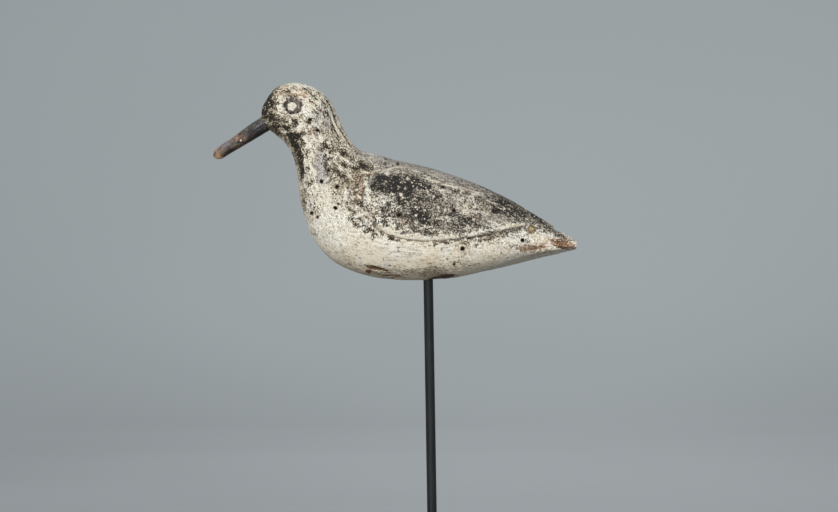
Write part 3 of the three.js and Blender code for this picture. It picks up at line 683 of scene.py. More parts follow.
def birdBody():
    rings, along, angle, length, belly = bodyShape()
    normal = ringNormals(rings)
    outward = np.sign((normal * (rings - rings.mean(axis=1, keepdims=True))).sum())
    normal = normal * outward
    x, y, z = rings[..., 0], rings[..., 1], rings[..., 2] - belly
    right = sideOf(rings)

    # The wing stands proud inside its edge, with a groove outside it that is softer along the back.
    edge = throughPoints(np.array(wingEdge) * length, np.linspace(0, len(wingEdge) - 1, 160))
    far, share = lineDistance(x, z, edge)
    wing = np.where(insideLine(x, z, edge), far, -far)
    crisp = 1 - 0.55 * ease(0.6, 0.68, share) * ease(1.0, 0.9, share)
    relief = bird["wingRise"] * ease(-0.9, 0.7 + 1.6 * (1 - crisp), wing)
    relief -= bird["wingGroove"] * crisp * np.exp(-((wing + 0.9) / 0.7) ** 2)

    # The eye is a ring cut round a raised middle.
    eyeX, eyeZ = x - eye["centre"][0], z - eye["centre"][1]
    middle = [0.5 * (a + b) for a, b in zip(eye["outer"], eye["inner"])]
    eyeOff = (np.hypot(eyeX / middle[0], eyeZ / middle[1]) - 1) * middle[0]
    relief -= bird["eyeGroove"] * np.exp(-(eyeOff / 1.2) ** 2)

    # A crack runs down the back of the neck on the left.
    crack = lineDistance(x, z, np.array(napeCrack))[0] + 30 * right
    relief -= bird["crackDepth"] * np.exp(-(crack / 0.6) ** 2)

    # Knife marks, uneven paint, and bare places where the paint and some wood have gone.
    bare = ovals(x + 3 * right, z, bareWood)
    bare += 0.5 * ease(0, 1, bare) * softNoise(rings, 2.2, 11)
    relief += bird["knifeMarks"] * softNoise(rings * [0.5, 1, 0.8], 9, 1)
    relief += 0.5 * bird["knifeMarks"] * softNoise(rings, 4.5, 2)
    relief += bird["unevenPaint"] * softNoise(rings, 1.9, 3)
    relief -= bird["bareDip"] * ease(0.25, 0.6, bare)
    relief -= bird["tailStep"] * ease(83.0, 84.6, x) * ease(90.5, 85.0, x) * ease(0.1, 0.6, normal[..., 2])
    relief += bird["tailUnder"] * ease(20, 50, x) * ease(-0.3, -0.8, normal[..., 2])
    shaped = rings + normal * relief[..., None]
    ends = [shaped[0].mean(axis=0), shaped[-1].mean(axis=0)]
    piece = ringMesh("birdSurface", shaped, ends[0], ends[1])

    # What the paint reads: how likely dark paint and its wash are, as the log of their odds, and where
    # the rest lies. Both grow above their edges, and the wing holds more of them but for its rim, kept pale
    # by wear and partly as a painted highlight on the raised edge.
    wearX = x + 4 * right
    seenX, seenY = inPicture(wearX, y, z)
    inWing = ease(-1.5, 1.0, wing)
    rimWearAndHighlight = np.where(share < 0.62, 0.8 * ease(3.8, 1.0, wing), 0.6 * ease(4, 1, wing))
    dark = 0.005 + 0.035 * ease(-3, 10, z - np.interp(wearX, *zip(*darkEdge)))
    dark = dark + ovals(seenX, seenY, darkPaint, -1)
    dark = dark * (1 - 0.15 * right) + 0.22 * inWing * (1 - rimWearAndHighlight)
    band = inWing * ease(3.6, 1.2, wing) * ease(0.47, 0.43, share)
    dark = dark - 0.12 * band
    washed = dark - 0.2 * band + 0.01 + ovals(seenX, seenY, wash, -1)
    washed = washed + 0.42 * ease(-6, 10, z - np.interp(wearX, *zip(*washEdge)))
    dark, washed = np.clip(dark, 0.003, 0.99), np.clip(washed, 0.01, 0.985)
    film = np.clip(ovals(wearX, z, greyFilm), 0, 1)
    stain = np.clip(ovals(wearX, z, warmStain), 0, 1)
    ridge = inWing * ease(2.3, 1.2, wing) * (0.25 + 0.75 * np.exp(-((share - 0.485) / 0.045) ** 2))
    step = np.linalg.norm(np.roll(rings, -1, axis=1) - rings, axis=-1)
    arc = np.cumsum(step, axis=1) - step
    halfWay, whole = arc[:, [bird["around"] // 2]], arc[:, [-1]] + step[:, [-1]]
    girth = np.where(arc < halfWay, np.minimum(arc, halfWay - arc), -np.minimum(arc - halfWay, whole - arc))
    grain = np.stack([along[:, None] + 0 * x, girth, y], axis=-1) * mm
    values = {
        "darkOdds": np.log(dark / (1 - dark)) / 1.7,
        "washOdds": np.log(washed / (1 - washed)) / 1.7,
        "paleStroke": np.clip(ovals(seenX, seenY, paleStrokes, -1), 0, 1) * (1 - 0.5 * right),
        "greyFilm": film,
        "bareWood": bare,
        "warmStain": stain,
        "wingDistance": np.clip(wing, -12, 12),
        "wingRidge": ridge,
        "crackDistance": np.minimum(crack, 12),
        "onWing": inWing,
    }
    for name, field in values.items():
        keepValues(piece, name, np.append(field.ravel(), [field[0].mean(), field[-1].mean()]))
    keepValues(piece, "grainPlace", np.vstack([grain.reshape(-1, 3), grain[0].mean(0), grain[-1].mean(0)]))
    return piece, shaped, belly


def surfaceDepth(shaped, belly, x, z, side):
    # How far out the body's surface lies at a place seen from the left (-1) or the right (1).
    flat = shaped.reshape(-1, 3)
    flat = flat[flat[:, 1] * side > 0]
    return flat[np.argmin((flat[:, 0] - x) ** 2 + (flat[:, 2] - belly - z) ** 2), 1]


def shotBore(index, x, z, radius, surface, side, belly):
    # A round-bottomed bore across the body: rings of the radius, then of a quarter circle's sine.
    depth = 3.2 + (index * 1.7) % 2.3
    distance = np.array([-3.0, -1.0, 0.0, 0.5 * depth, depth, depth + 0.45 * radius, depth + 0.8 * radius])
    size = np.array([1.0, 1.0, 1.0, 0.97, 0.9, 0.72, 0.4]) * radius
    angle = np.linspace(0, 2 * math.pi, 28, endpoint=False)
    wobble = 1 + 0.07 * np.sin(2 * angle + index) + 0.04 * np.sin(5 * angle + 2 * index)
    rings = np.stack([
        x + size[:, None] * wobble * np.cos(angle),
        surface - side * distance[:, None] + 0 * angle,
        belly + z + size[:, None] * wobble * np.sin(angle) * -side,
    ], axis=-1)
    first = [x, surface + side * 3.0, belly + z]
    last = [x, surface - side * (depth + 0.9 * radius), belly + z]
    return ringMesh(f"shotBore{side:+d}{index}", rings, first, last)


def joinPieces(name, parts):
    # One mesh from several that lie apart.
    points, faces = [], []
    for part in parts:
        start = len(points)
        points += [tuple(v.co) for v in part.data.vertices]
        faces += [[start + v for v in face.vertices] for face in part.data.polygons]
        bpy.data.objects.remove(part)
    mesh = bpy.data.meshes.new(name)
    mesh.from_pydata(points, [], faces)
    mesh.shade_smooth()
    piece = bpy.data.objects.new(name, mesh)
    bpy.context.scene.collection.objects.link(piece)
    return piece


def wornPaint(belly):
    material, start = newMaterial("wornBirdPaint")
    place = start.node("TexCoord", output="Object")
    x, y, z = (start.node("SeparateXYZ", inputs={0: place}, output=k) / mm for k in range(3))
    z = z - belly
    grain = stored(start, "grainPlace", "Vector")
    wing = stored(start, "wingDistance")
    onWing = stored(start, "onWing")

    # Noises: crumbs and flakes of paint, streaks along the carving, and broad uneven areas.
    crumbs = noise(place, 1.3, 2, 0.5, seed=1)
    flakes = noise(place, 3.2, 2, 0.5, seed=2)
    streaks = noise(grain, 1.1, 2, 0.5, (0.22, 1, 1), seed=3)
    fine = noise(place, 0.85, 1, 0.5, seed=4)
    broad = noise(place, 11, 2, 0.5, seed=5)
    wide = noise(place, 26, 1, 0.5, seed=6)
    smears = noise(grain, 2.2, 2, 0.5, (0.45, 1, 1), seed=7)
    dust = noise(place, 0.8, 2, 0.6, seed=8)
    shreds = noise(grain, 1.2, 2, 0.5, (0.33, 1, 1), seed=9)
    ragged = 0.26 * crumbs + 0.22 * flakes + 0.46 * shreds + 0.56 * fine + 0.25 * dust
    film = smooth(-0.1, 0.5, stored(start, "greyFilm") - 0.2 + 0.15 * flakes)
    lilac = smooth(-52, -60, x)
    calm = smooth(0.3, 0.8, stored(start, "greyFilm")) * smooth(0, 1, onWing + lilac)
    ragged = ragged * (1 - 0.3 * calm)
    black = smooth(0.3, 0.7, onWing + smooth(40, 60, x) + 0.12 * flakes)
    darkOdds, washOdds = stored(start, "darkOdds"), stored(start, "washOdds")

    # Cream paint, yellowed and greyed in places, with faint brush streaks and small stains, and more
    # soiled where it was once covered.
    cream = tint(smooth(-0.9, 0.9, broad), seen(246, 243, 231), seen(239, 232, 213))
    cream = tint(smooth(-0.3, 1.3, wide + 0.4 * streaks) * 0.35, cream, seen(216, 211, 195))
    cream = tint(smooth(0.1, 1.4, streaks + 0.5 * crumbs) * 0.5, cream, seen(192, 181, 158))
    # Painted light: a band low on the breast and belly is kept lighter, with fewer dust specks, where the
    # light falls most.
    paintedLightBand = smooth(11, 16, z) * smooth(27, 24, z) * smooth(-62, -44, x) * smooth(8, -8, x)
    cream = tint(smooth(0.0, 1.2, dust + 0.4 * crumbs) * (0.5 - 0.35 * paintedLightBand), cream, seen(166, 155, 132))
    cream = tint(smooth(0.3, 0.8, fine + 0.7 * streaks) * 0.4, cream, seen(142, 130, 106))
    cream = tint(smooth(0.8, 1.6, flakes + 0.6 * fine) * 0.4, cream, seen(154, 138, 112))
    # Painted bounce light: lower on the body the cream turns warmer and lighter, as if lit warmly from below,
    # less so towards the tail.
    low = smooth(34, 8, z) * smooth(-2.4, 0.2, broad)
    cream = tint(low * (0.62 - 0.4 * smooth(10, 45, x)), cream, seen(250, 236, 209))
    cream = tint(film * 0.4, cream, seen(206, 206, 204))
    soiled = smooth(-0.8, 0.9, washOdds + 0.25 * flakes)
    cream = tint(soiled * 0.5, cream, tint(black, seen(174, 162, 141), seen(172, 162, 144)))
    stain = stored(start, "warmStain") * smooth(-1.0, 0.6, flakes + 0.7 * streaks)
    rust = tint(smooth(-0.4, 0.9, crumbs + 0.5 * flakes), seen(206, 160, 126), seen(150, 112, 80))
    cream = tint(stain * 0.75, cream, rust)

    # The worn wash: brown and olive, or a grey and violet film, rubbed through along the streaks.
    washed = washOdds * 0.6 + 0.62 * ragged + 0.42 * smears + 0.12 * broad
    thick = smooth(-0.8, 0.8, dust + 0.6 * crumbs - 0.25 * streaks + 0.3 * fine + 0.3 * film * smears)
    paler = tint(film, seen(174, 161, 138), tint(lilac, seen(186, 181, 174), seen(186, 184, 182)))
    deeper = tint(film, seen(94, 84, 65), tint(lilac, seen(112, 107, 101), seen(122, 119, 116)))
    washColour = tint(thick, tint(black, paler, seen(168, 159, 143)), tint(black, deeper, seen(84, 78, 69)))
    washColour = tint(stain * 0.3, washColour, rust)
    colour = tint(smooth(-0.25, 0.3, washed) * 0.88, cream, washColour)

    # Bare wood, orange and brown along the grain, and dark where it is gouged.
    wood = tint(smooth(-1.0, 1.0, streaks + 0.4 * fine), seen(160, 114, 82), seen(98, 72, 50))
    wood = tint(smooth(-0.1, 0.6, crumbs + 0.4 * flakes + 0.3 * fine) * 0.85, wood, seen(72, 54, 38))
    wood = tint(smooth(87, 92, x) * smooth(-0.2, 0.6, shreds) * 0.6, wood, seen(206, 182, 162))
    wood = tint(smooth(86, 82, x + 2 * crumbs) * 0.4, wood, seen(196, 160, 124))
    wood = tint(smooth(0.6, 0.9, 0.4 * flakes - 0.6 * crumbs + 0.4 * fine), wood, seen(206, 190, 166))
    smear = tint(smooth(-0.5, 0.8, streaks), seen(158, 130, 104), seen(104, 80, 60))
    wood = tint(smooth(81, 78, x) * 0.8, wood, smear)
    corner = smooth(21.6, 20.4, z + 0.16 * (x - 87.5) + 0.2 * crumbs) * smooth(83, 86, x)
    wood = tint(corner * 0.8, wood, seen(60, 50, 38))
    bareField = stored(start, "bareWood") + 0.12 * flakes + 0.2 * shreds + 0.12 * crumbs
    gouged = tint(smooth(-0.6, 0.8, streaks + 0.5 * crumbs), seen(128, 102, 68), seen(78, 58, 40))
    above = z - 8.2 + 0.25 * (x + 33.6) + 0.25 * crumbs
    gouged = tint(smooth(0.0, 0.7, above + 0.1 * (-36 - x)) * 0.85, gouged, seen(56, 40, 27))
    gouged = tint(smooth(-36.5, -38, x) * smooth(7.6, 6.8, z) * 0.8, gouged, seen(92, 56, 38))
    besideRod = tint(smooth(-0.5, 0.9, crumbs), seen(84, 50, 30), seen(46, 30, 20))
    gouged = tint(smooth(0, 4, x) * 0.85, gouged, besideRod)
    wood = tint(smooth(14, 9, z), wood, gouged)
    bare = smooth(0.36, 0.52, bareField)
    colour = tint(bare, colour, wood)

    # Dark paint in crumbs and flakes with thinner edges, brown on the neck and black on the wing, and
    # pale specks knocked out of it.
    odds = darkOdds * 0.57 + ragged
    thin = smooth(-0.5, 0.05, odds) * (1 - bare)
    colour = tint(thin * 0.3, colour, tint(black, seen(112, 98, 72), seen(106, 97, 82)))
    dark = smooth(-0.12, 0.14, odds) * (1 - bare)
    deep = smooth(0.05, 0.85, odds + 0.25 * fine + 0.2 * black)
    umber = tint(deep, seen(90, 80, 62), seen(28, 23, 16))
    coal = tint(deep, seen(82, 76, 65), seen(32, 30, 26))
    varied = smooth(-0.3, 1.0, broad + 0.4 * crumbs) * 0.35
    umber = tint(varied, umber, seen(66, 62, 46))
    # Painted shade: the dark paint is made darker still at the throat, under the head.
    throatShade = smooth(-68, -76, x) * smooth(80, 88, z) * smooth(108, 100, z)
    umber = tint(throatShade * 0.55, umber, seen(15, 12, 8))
    coal = tint(varied, coal, seen(52, 51, 49))
    colour = tint(dark * 0.97, colour, tint(black, umber, coal))
    pale = specks(place, 2.9, 0.4, seed=1) + specks(place, 1.5, 0.52, seed=2) * 0.75
    covered = smooth(-0.2, 0.2, odds) * (0.4 + 0.6 * black) * (1 - 0.5 * smooth(0.7, 1.5, odds))
    covered = covered + smooth(-0.1, 0.3, washed) * 0.3
    solid = black * smooth(-20, -30, x) * smooth(48, 56, z)
    litColour = tint(smooth(-0.8, 0.9, crumbs), seen(240, 232, 216), seen(172, 161, 142))
    colour = tint(pale * smooth(0, 1, covered) * (1 - bare) * (1 - 0.7 * solid), colour, litColour)

    # Pale strokes where high places are rubbed clean; the one along the wing's lower lip is partly a
    # painted highlight.
    stroke = smooth(0.42, 0.7, stored(start, "paleStroke") + 0.2 * shreds + 0.16 * fine) * (1 - bare)
    strokeColour = tint(smooth(-0.6, 0.8, flakes), seen(238, 228, 208), seen(212, 196, 170))
    colour = tint(stroke * 0.85, colour, strokeColour)

    # The wing's rim is rubbed pale at the front, partly wear and partly a painted highlight on the raised
    # edge, and the groove outside it is darkened with dirt and painted shade.
    rimWearAndHighlight = stored(start, "wingRidge") * smooth(-0.6, 0.4, flakes + 0.8 * crumbs + 0.4 * fine)
    colour = tint(rimWearAndHighlight * 0.9, colour, seen(236, 231, 216))
    lower = smooth(45, 32, z) * smooth(-50, -30, x)
    front = smooth(-30, -38, x) * smooth(30, 45, z) * smooth(72, 64, z)
    wider = smooth(14, 20, x) * smooth(52, 46, x)
    grooveDirtAndShade = smooth(-1.5 - 0.5 * wider, -1.1 - 0.4 * wider, wing) * smooth(-0.1, -0.5, wing)
    broken = smooth(-0.9, 0.3, flakes + 0.6 * crumbs + 0.6 * smooth(8, 25, x))
    grooveDirtAndShade = grooveDirtAndShade * (0.25 + (0.6 - 0.55 * smooth(38, 52, x)) * lower + 0.65 * front) * broken
    grooveColour = tint(smooth(8, 18, x), seen(140, 116, 84), seen(50, 41, 30))
    colour = tint(grooveDirtAndShade * 0.95, colour, tint(front, grooveColour, seen(116, 88, 64)))

    # A knot in the wood shows through as a brown ring with a pale middle.
    knotX, knotZ, knotRadius = knot
    fromKnot = (((x - knotX) ** 2 + ((z - knotZ) * 0.8) ** 2) ** 0.5 + 0.35 * crumbs) / knotRadius
    knotColour = tint(smooth(0.3, 0.75, fromKnot), seen(186, 166, 126), seen(116, 94, 60))
    knotColour = tint(smooth(0.4, 1.2, crumbs + streaks), knotColour, seen(70, 54, 36))
    colour = tint(smooth(1.2, 0.85, fromKnot) * smooth(0, -1, y) * 0.9, colour, knotColour)

    # The eye: a dark ring of uneven width and strength round a pale middle, worn lighter in places and,
    # as a painted highlight, lighter towards its right and upper side.
    offX, offZ = x - eye["centre"][0], z - eye["centre"][1]
    outer = ((offX / eye["paint"][0]) ** 2 + (offZ / eye["paint"][1]) ** 2) ** 0.5
    inner = ((offX - eye["whiteOff"][0]) / eye["white"][0]) ** 2
    inner = (inner + ((offZ - eye["whiteOff"][1]) / eye["white"][1]) ** 2) ** 0.5
    wobble = 0.07 * flakes + 0.03 * crumbs
    inEye = smooth(1.1, 0.96, outer + wobble)
    ring = inEye * smooth(0.9, 1.14, inner + 2.2 * wobble)
    ringWearAndHighlight = 0.6 * flakes + 0.5 * crumbs + 0.1 * offX + 0.04 * offZ
    ringColour = tint(smooth(-0.7, 0.8, ringWearAndHighlight), seen(50, 43, 39), seen(114, 106, 97))
    colour = tint(inEye, colour, tint(smooth(0.3, 1.3, crumbs), seen(226, 221, 204), seen(196, 180, 148)))
    colour = tint(ring * (1 - 0.45 * smooth(0.8, 1.3, ringWearAndHighlight)), colour, ringColour)

    # The crack: a dark line of grime and painted shade, with a pale lip on the face's side that is a
    # painted highlight.
    crack = stored(start, "crackDistance") + 0.35 * crumbs
    lip = smooth(2.0, 1.1, crack) * smooth(-1.0, 0.3, flakes + 0.4 * crumbs)
    colour = tint(lip * 0.8, colour, seen(226, 216, 194))
    colour = tint(smooth(0.75, 0.35, crack) * 0.9, colour, seen(44, 37, 30))

    # Shot holes are darkened inside with painted shade, with a brown edge where the paint has sprung away.
    flat = start.node("VectorMath", {"operation": "MULTIPLY"}, {0: place, 1: (1, 0, 1)})
    for holes, side in ((leftHoles + smallPits, -1), (rightHoles, 1)):
        nearest = None
        for holeX, holeZ, radius in holes:
            at = (holeX * mm, 0, (holeZ + belly) * mm)
            gap = start.node("VectorMath", {"operation": "DISTANCE"}, {0: flat, 1: at}, "Value")
            gap = gap / mm - radius
            nearest = gap if nearest is None else start.sum("MINIMUM", nearest, gap)
        onSide = smooth(0, 1, side * y)
        edge = smooth(0.7, 0.15, nearest + 0.3 * crumbs) * onSide * (1 - 0.6 * black)
        colour = tint(edge * 0.6, colour, seen(104, 80, 58))
        inside = tint(smooth(-0.5, 0.8, broad), seen(14, 10, 8), seen(34, 28, 22))
        colour = tint(smooth(0.1, -0.25, nearest + 0.15 * crumbs) * onSide, colour, inside)

    # Painted shade and dirt on the downward-facing underside, most of it on the tail's flat.
    facing = start.node("SeparateXYZ", inputs={0: start.node("TexCoord", output="Normal")}, output=2)
    first = -0.65 + 0.4 * smooth(15, 50, x) + 0.25 * smooth(-40, -60, x)
    shadeAndDirtBelow = smooth(first, -0.95, facing + 0.08 * flakes) * (1 - bare)
    shade = tint(smooth(20, 50, x), seen(112, 100, 78), seen(104, 100, 93))
    colour = tint(shadeAndDirtBelow * (0.6 - 0.1 * smooth(15, 40, x)), colour, shade)

    height = 0.05 * dark + 0.035 * crumbs + 0.03 * fine + 0.03 * streaks - 0.1 * bare - 0.25 * grooveDirtAndShade
    roughness = 0.58 + 0.08 * dark + 0.16 * bare + 0.04 * crumbs
    finishMaterial(start, colour, roughness, bump(height), Specular_IOR_Level=0.25)
    return material


# The bill

bill = {
    "root": (-105.87, 105.25),   # where its axis leaves the face, from where the rod enters
    "length": 40.5,
    "inHead": 9.0,
    "rootSize": (10.6, 8.4),     # height and width
    "tipSize": (7.8, 6.0),
    "tipRound": 5.0,
    "droop": 32.0,
    "rings": 170,
    "around": 96,
}


def billRings(rings, around, grow=0.0):
    # Superellipse rings along -X whose size runs evenly from root to tip, and over the tip falls as a
    # quarter of an ellipse; then turned down by the droop and set on the face.
    total = bill["inHead"] + bill["length"] + 2 * grow
    xs = bill["inHead"] + grow - total * np.sin(0.5 * math.pi * (np.arange(rings) + 0.5) / rings)
    straight = bill["length"] - bill["tipRound"]
    along = np.clip(-xs / straight, 0, 1)
    past = np.clip((-xs - straight) / (bill["tipRound"] + grow), 0, 1)
    size = [
        ((1 - along) * root + along * tip) * np.sqrt(1 - past ** 2)
        for root, tip in zip(bill["rootSize"], bill["tipSize"])
    ]
    angle = -np.linspace(0, 2 * math.pi, around, endpoint=False)
    y = (0.5 * size[1][:, None] + grow) * rounded(np.cos(angle), 2.25)
    z = (0.5 * size[0][:, None] + grow) * rounded(np.sin(angle), 2.25)
    return np.stack([xs[:, None] + 0 * y, y, z], axis=-1)


def droop(points, belly):
    turn = math.radians(bill["droop"])
    x, y, z = np.moveaxis(points, -1, 0)
    return np.stack([
        bill["root"][0] + x * math.cos(turn) - z * math.sin(turn),
        y,
        belly + bill["root"][1] + x * math.sin(turn) + z * math.cos(turn),
    ], axis=-1)


def wornBill(belly):
    rings = billRings(bill["rings"], bill["around"])
    normal = ringNormals(rings)
    normal = normal * np.sign((normal * (rings - rings.mean(axis=1, keepdims=True))).sum())
    x, y, z = np.moveaxis(rings, -1, 0)
    # A knife edge along each side divides the upper face from the lower, and the tip is worn uneven.
    edge = np.exp(-((z - 0.6) / 0.9) ** 2)
    relief = 0.28 * edge + 0.16 * softNoise(rings * [0.35, 1, 1], 3.2, 21) + 0.06 * softNoise(rings, 1.2, 22)
    relief -= 0.3 * ease(0.3, 0.8, softNoise(rings * [0.4, 1, 1], 4.5, 23))
    shaped = rings + normal * relief[..., None]
    placed = droop(shaped, belly)
    piece = ringMesh("billSurface", placed, placed[0].mean(axis=0), placed[-1].mean(axis=0))
    own = np.vstack([shaped.reshape(-1, 3), shaped[0].mean(axis=0), shaped[-1].mean(axis=0)])
    keepValues(piece, "alongBill", own * mm)
    return piece


def billPaint():
    material, start = newMaterial("wornBillPaint")
    place = stored(start, "alongBill", "Vector")
    x, y, z = (start.node("SeparateXYZ", inputs={0: place}, output=k) / mm for k in range(3))
    streaks = noise(place, 1.2, 2, 0.5, (0.25, 1, 1), seed=1)
    patches = noise(place, 3.0, 2, 0.5, (0.6, 1, 1), seed=2)
    fine = noise(place, 0.9, 1, 0.5, (0.7, 1, 1), seed=3)
    wave = z + 0.35 * patches + 0.2 * streaks

    # Black below and grey above, the upper face's grey partly a painted sheen, then violet over olive
    # and brown towards the tip.
    paint = tint(smooth(-0.7, 1.0, streaks + 0.5 * fine), seen(26, 25, 27), seen(62, 54, 50))
    olive = tint(smooth(-0.8, 0.8, streaks + 0.7 * fine), seen(116, 111, 99), seen(70, 69, 66))
    paint = tint(smooth(-0.4, 1.0, wave) * smooth(-1.6, 0.3, patches + 0.5 * fine) * 0.85, paint, olive)
    outer = smooth(-20, -24, x)
    violet = tint(smooth(-0.6, 0.8, fine + streaks), seen(138, 126, 127), seen(98, 92, 98))
    paint = tint(outer * smooth(0.6, 1.4, wave) * 0.85, paint, violet)
    paint = tint(outer * smooth(1.2, 0.5, wave) * smooth(-1.8, -1.0, wave) * 0.75, paint, seen(98, 94, 80))
    russet = smooth(-10, -18, x) * smooth(-0.4, -1.4, wave) * smooth(-0.5, 0.5, streaks + fine)
    paint = tint(russet * 0.75, paint, seen(98, 70, 56))
    # A painted highlight: a pale bluish glint on the upper face near the root.
    glint = smooth(0.0, 0.8, wave) * smooth(2.6, 1.6, wave) * smooth(-9, -3, x)
    glint = glint * smooth(0.2, 0.8, fine + 0.4 * streaks)
    paint = tint(glint * 0.8, paint, seen(150, 150, 162))
    wood = tint(smooth(-0.8, 0.8, streaks + 0.5 * fine), seen(162, 126, 102), seen(98, 78, 65))
    wood = tint(smooth(0.3, 1.2, fine + 0.5 * patches) * 0.5, wood, seen(184, 156, 134))
    middle = smooth(6.5, 2.5, abs(x + 17.5 + 1.5 * z)) * smooth(-1.8, 0.8, z) * 0.9
    tip = smooth(-33, -37.5, x - 0.5 * z)
    bare = smooth(0.35, 0.85, middle + 1.2 * tip + 0.2 * patches + 0.26 * streaks + 0.2 * fine)
    colour = tint(bare * 0.92, paint, wood)
    flecks = smooth(0.5, 1.0, fine - 0.4 * streaks) * smooth(-36, -31, x)
    colour = tint(flecks * 0.7, colour, seen(46, 38, 36))
    colour = tint(tip * smooth(0.6, -1.0, z + 0.5 * fine) * 0.75, colour, seen(174, 136, 106))
    chip = smooth(0.95, 0.4, ((x + 19.6) ** 2 + (z + 0.4) ** 2) ** 0.5 + 0.15 * fine) * smooth(0, -1, y)
    colour = tint(chip, colour, seen(228, 206, 178))
    # Painted shade: the underside is darkened towards black, most near the root.
    shadeAndDirtBelow = smooth(-1.6, -3.2, wave) * (0.45 + 0.55 * smooth(-16, -8, x)) * smooth(-38, -31, x)
    colour = tint(shadeAndDirtBelow * 0.8, colour, seen(24, 20, 20))
    height = 0.04 * streaks + 0.03 * fine - 0.08 * bare
    finishMaterial(start, colour, 0.42 + 0.2 * bare + 0.04 * patches, bump(height), Specular_IOR_Level=0.35)
    return material


# The stand

stand = {
    "around": 128,
    "rodEase": 0.5,        # rounding at the rod's ends
    "footEase": 0.8,
    "socketGap": 0.3,
    "socketDepth": 6.0,
}


def rounding(radius, height, ease, way, steps=6):
    # A quarter circle from the side to the end, or from the end to the side.
    turn = np.linspace(0, 0.5 * math.pi, steps)
    points = [(radius - ease * (1 - math.cos(a)), height + ease * (math.sin(a) - 1)) for a in turn]
    return points if way > 0 else [(r, 2 * height - h) for r, h in points][::-1]


def standRod():
    low, high = (np.array(corner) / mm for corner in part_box("stand_rod"))
    radius = 0.5 * (high[1] - low[1])
    heights = np.linspace(low[2] + 1, high[2] - 1, 180)
    profile = [(0, low[2])] + rounding(radius, low[2], stand["rodEase"], -1)
    profile += [(radius, h) for h in heights]
    profile += rounding(radius, high[2], stand["rodEase"], 1) + [(0, high[2])]
    return turned("rodSurface", profile, 64)


def standFoot():
    low, high = (np.array(corner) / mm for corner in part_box("stand_foot"))
    rodLow, rodHigh = (np.array(corner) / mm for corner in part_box("stand_rod"))
    radius = 0.5 * (high[0] - low[0])
    bore = 0.5 * (rodHigh[1] - rodLow[1]) + stand["socketGap"]
    ease = stand["footEase"]
    rings = np.linspace(radius - 1.5, bore + 0.6, 60)
    profile = [(0, low[2])] + [(r, low[2]) for r in np.linspace(4, radius - 1.5, 30)]
    profile += rounding(radius, low[2], ease, -1)
    profile += rounding(radius, high[2], ease, 1)
    profile += [(r, high[2] + 0.02 * math.sin(2.1 * r)) for r in rings]
    profile += [(bore + 0.3, high[2]), (bore, high[2] - 0.3), (bore, high[2] - stand["socketDepth"])]
    profile += [(0, high[2] - stand["socketDepth"])]
    return turned("footSurface", profile, 160)


def blackFinish():
    material, start = newMaterial("blackStand")
    place = start.node("TexCoord", output="Object")
    fine = noise(place, 0.7, 2, 0.5, seed=1)
    cloud = noise(place, 18, 2, 0.5, seed=2)
    drawn = noise(place, 1.0, 2, 0.5, (1, 1, 0.03), seed=3)
    dust = smooth(0.2, 1.8, 0.7 * cloud + 0.7 * fine)
    colour = tint(smooth(-1, 1, drawn), seen(26, 27, 29), seen(33, 35, 37))
    colour = tint(dust * 0.15, colour, seen(76, 76, 76))
    height = 0.012 * fine + 0.01 * drawn
    finishMaterial(start, colour, 0.55 + 0.015 * cloud, bump(height), Specular_IOR_Level=0.3)
    return material


# Putting the pieces in place

body, bodySurface, bellyHeight = birdBody()
print("bird shaped")
billPiece = wornBill(bellyHeight)
rodPiece = standRod()
footPiece = standFoot()
print("bill and stand shaped")

shotBores = [
    shotBore(i, x, z, radius, surfaceDepth(bodySurface, bellyHeight, x, z, side), side, bellyHeight)
    for holes, side in ((leftHoles, -1), (rightHoles, 1))
    for i, (x, z, radius) in enumerate(holes)
]
rodLow, rodHigh = (np.array(corner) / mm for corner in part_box("stand_rod"))
boreRadius = 0.5 * (rodHigh[1] - rodLow[1]) + stand["socketGap"]
rodBore = turned("rodBore", [
    (0, bellyHeight - 6), (boreRadius, bellyHeight - 6),
    (boreRadius, rodHigh[2] + 0.3), (0, rodHigh[2] + 0.3),
], 64)
socketRings = droop(billRings(60, 64, stand["socketGap"]), bellyHeight)
billSocket = ringMesh("billSocket", socketRings, socketRings[0].mean(axis=0), socketRings[-1].mean(axis=0))
cutAway(body, [joinPieces("shotBores", shotBores), rodBore, billSocket])
print("holes cut")

pieces = [
    (body, wornPaint(bellyHeight), "bird_body", "bird_paint"),
    (billPiece, billPaint(), "bill", "bill_paint"),
    (rodPiece, blackFinish(), "stand_rod", "stand_black"),
    (footPiece, bpy.data.materials["blackStand"], "stand_foot", "stand_black"),
]
for piece, material, node, slot in pieces:
    piece.data.materials.clear()
    piece.data.materials.append(material)
    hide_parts(node)
    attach(piece, "root")
print("finishes applied")


# Floor, backdrop and light

studio = {
    "floorRadius": 2600.0,
    "coveRadius": 1500.0,
    "wallTop": 5200.0,
    "colour": (0.363, 0.395, 0.408),
    "wallGlow": (0.053, 0.062, 0.060),     # soft light on the wall behind the bird
    "wallGlowPlace": (230.0, 3460.0, 280.0),
    "wallGlowReach": (1250.0, 1250.0),     # across and in depth
    "floorGlow": (0.068, 0.072, 0.073),
    "floorGlowPlace": (130.0, 1650.0, 0.0),
    "floorGlowReach": (840.0, 2600.0),
    "keySize": (3000, 1700),
    "keyPlace": (-700, -3000, 250),
    "keyPower": 76.0,
    "airLow": 0.05,
    "airFront": 0.8,
    "airBack": 0.55,
    "cameraAim": (-5.83, 227.04),          # across and up, in the middle of the picture
}


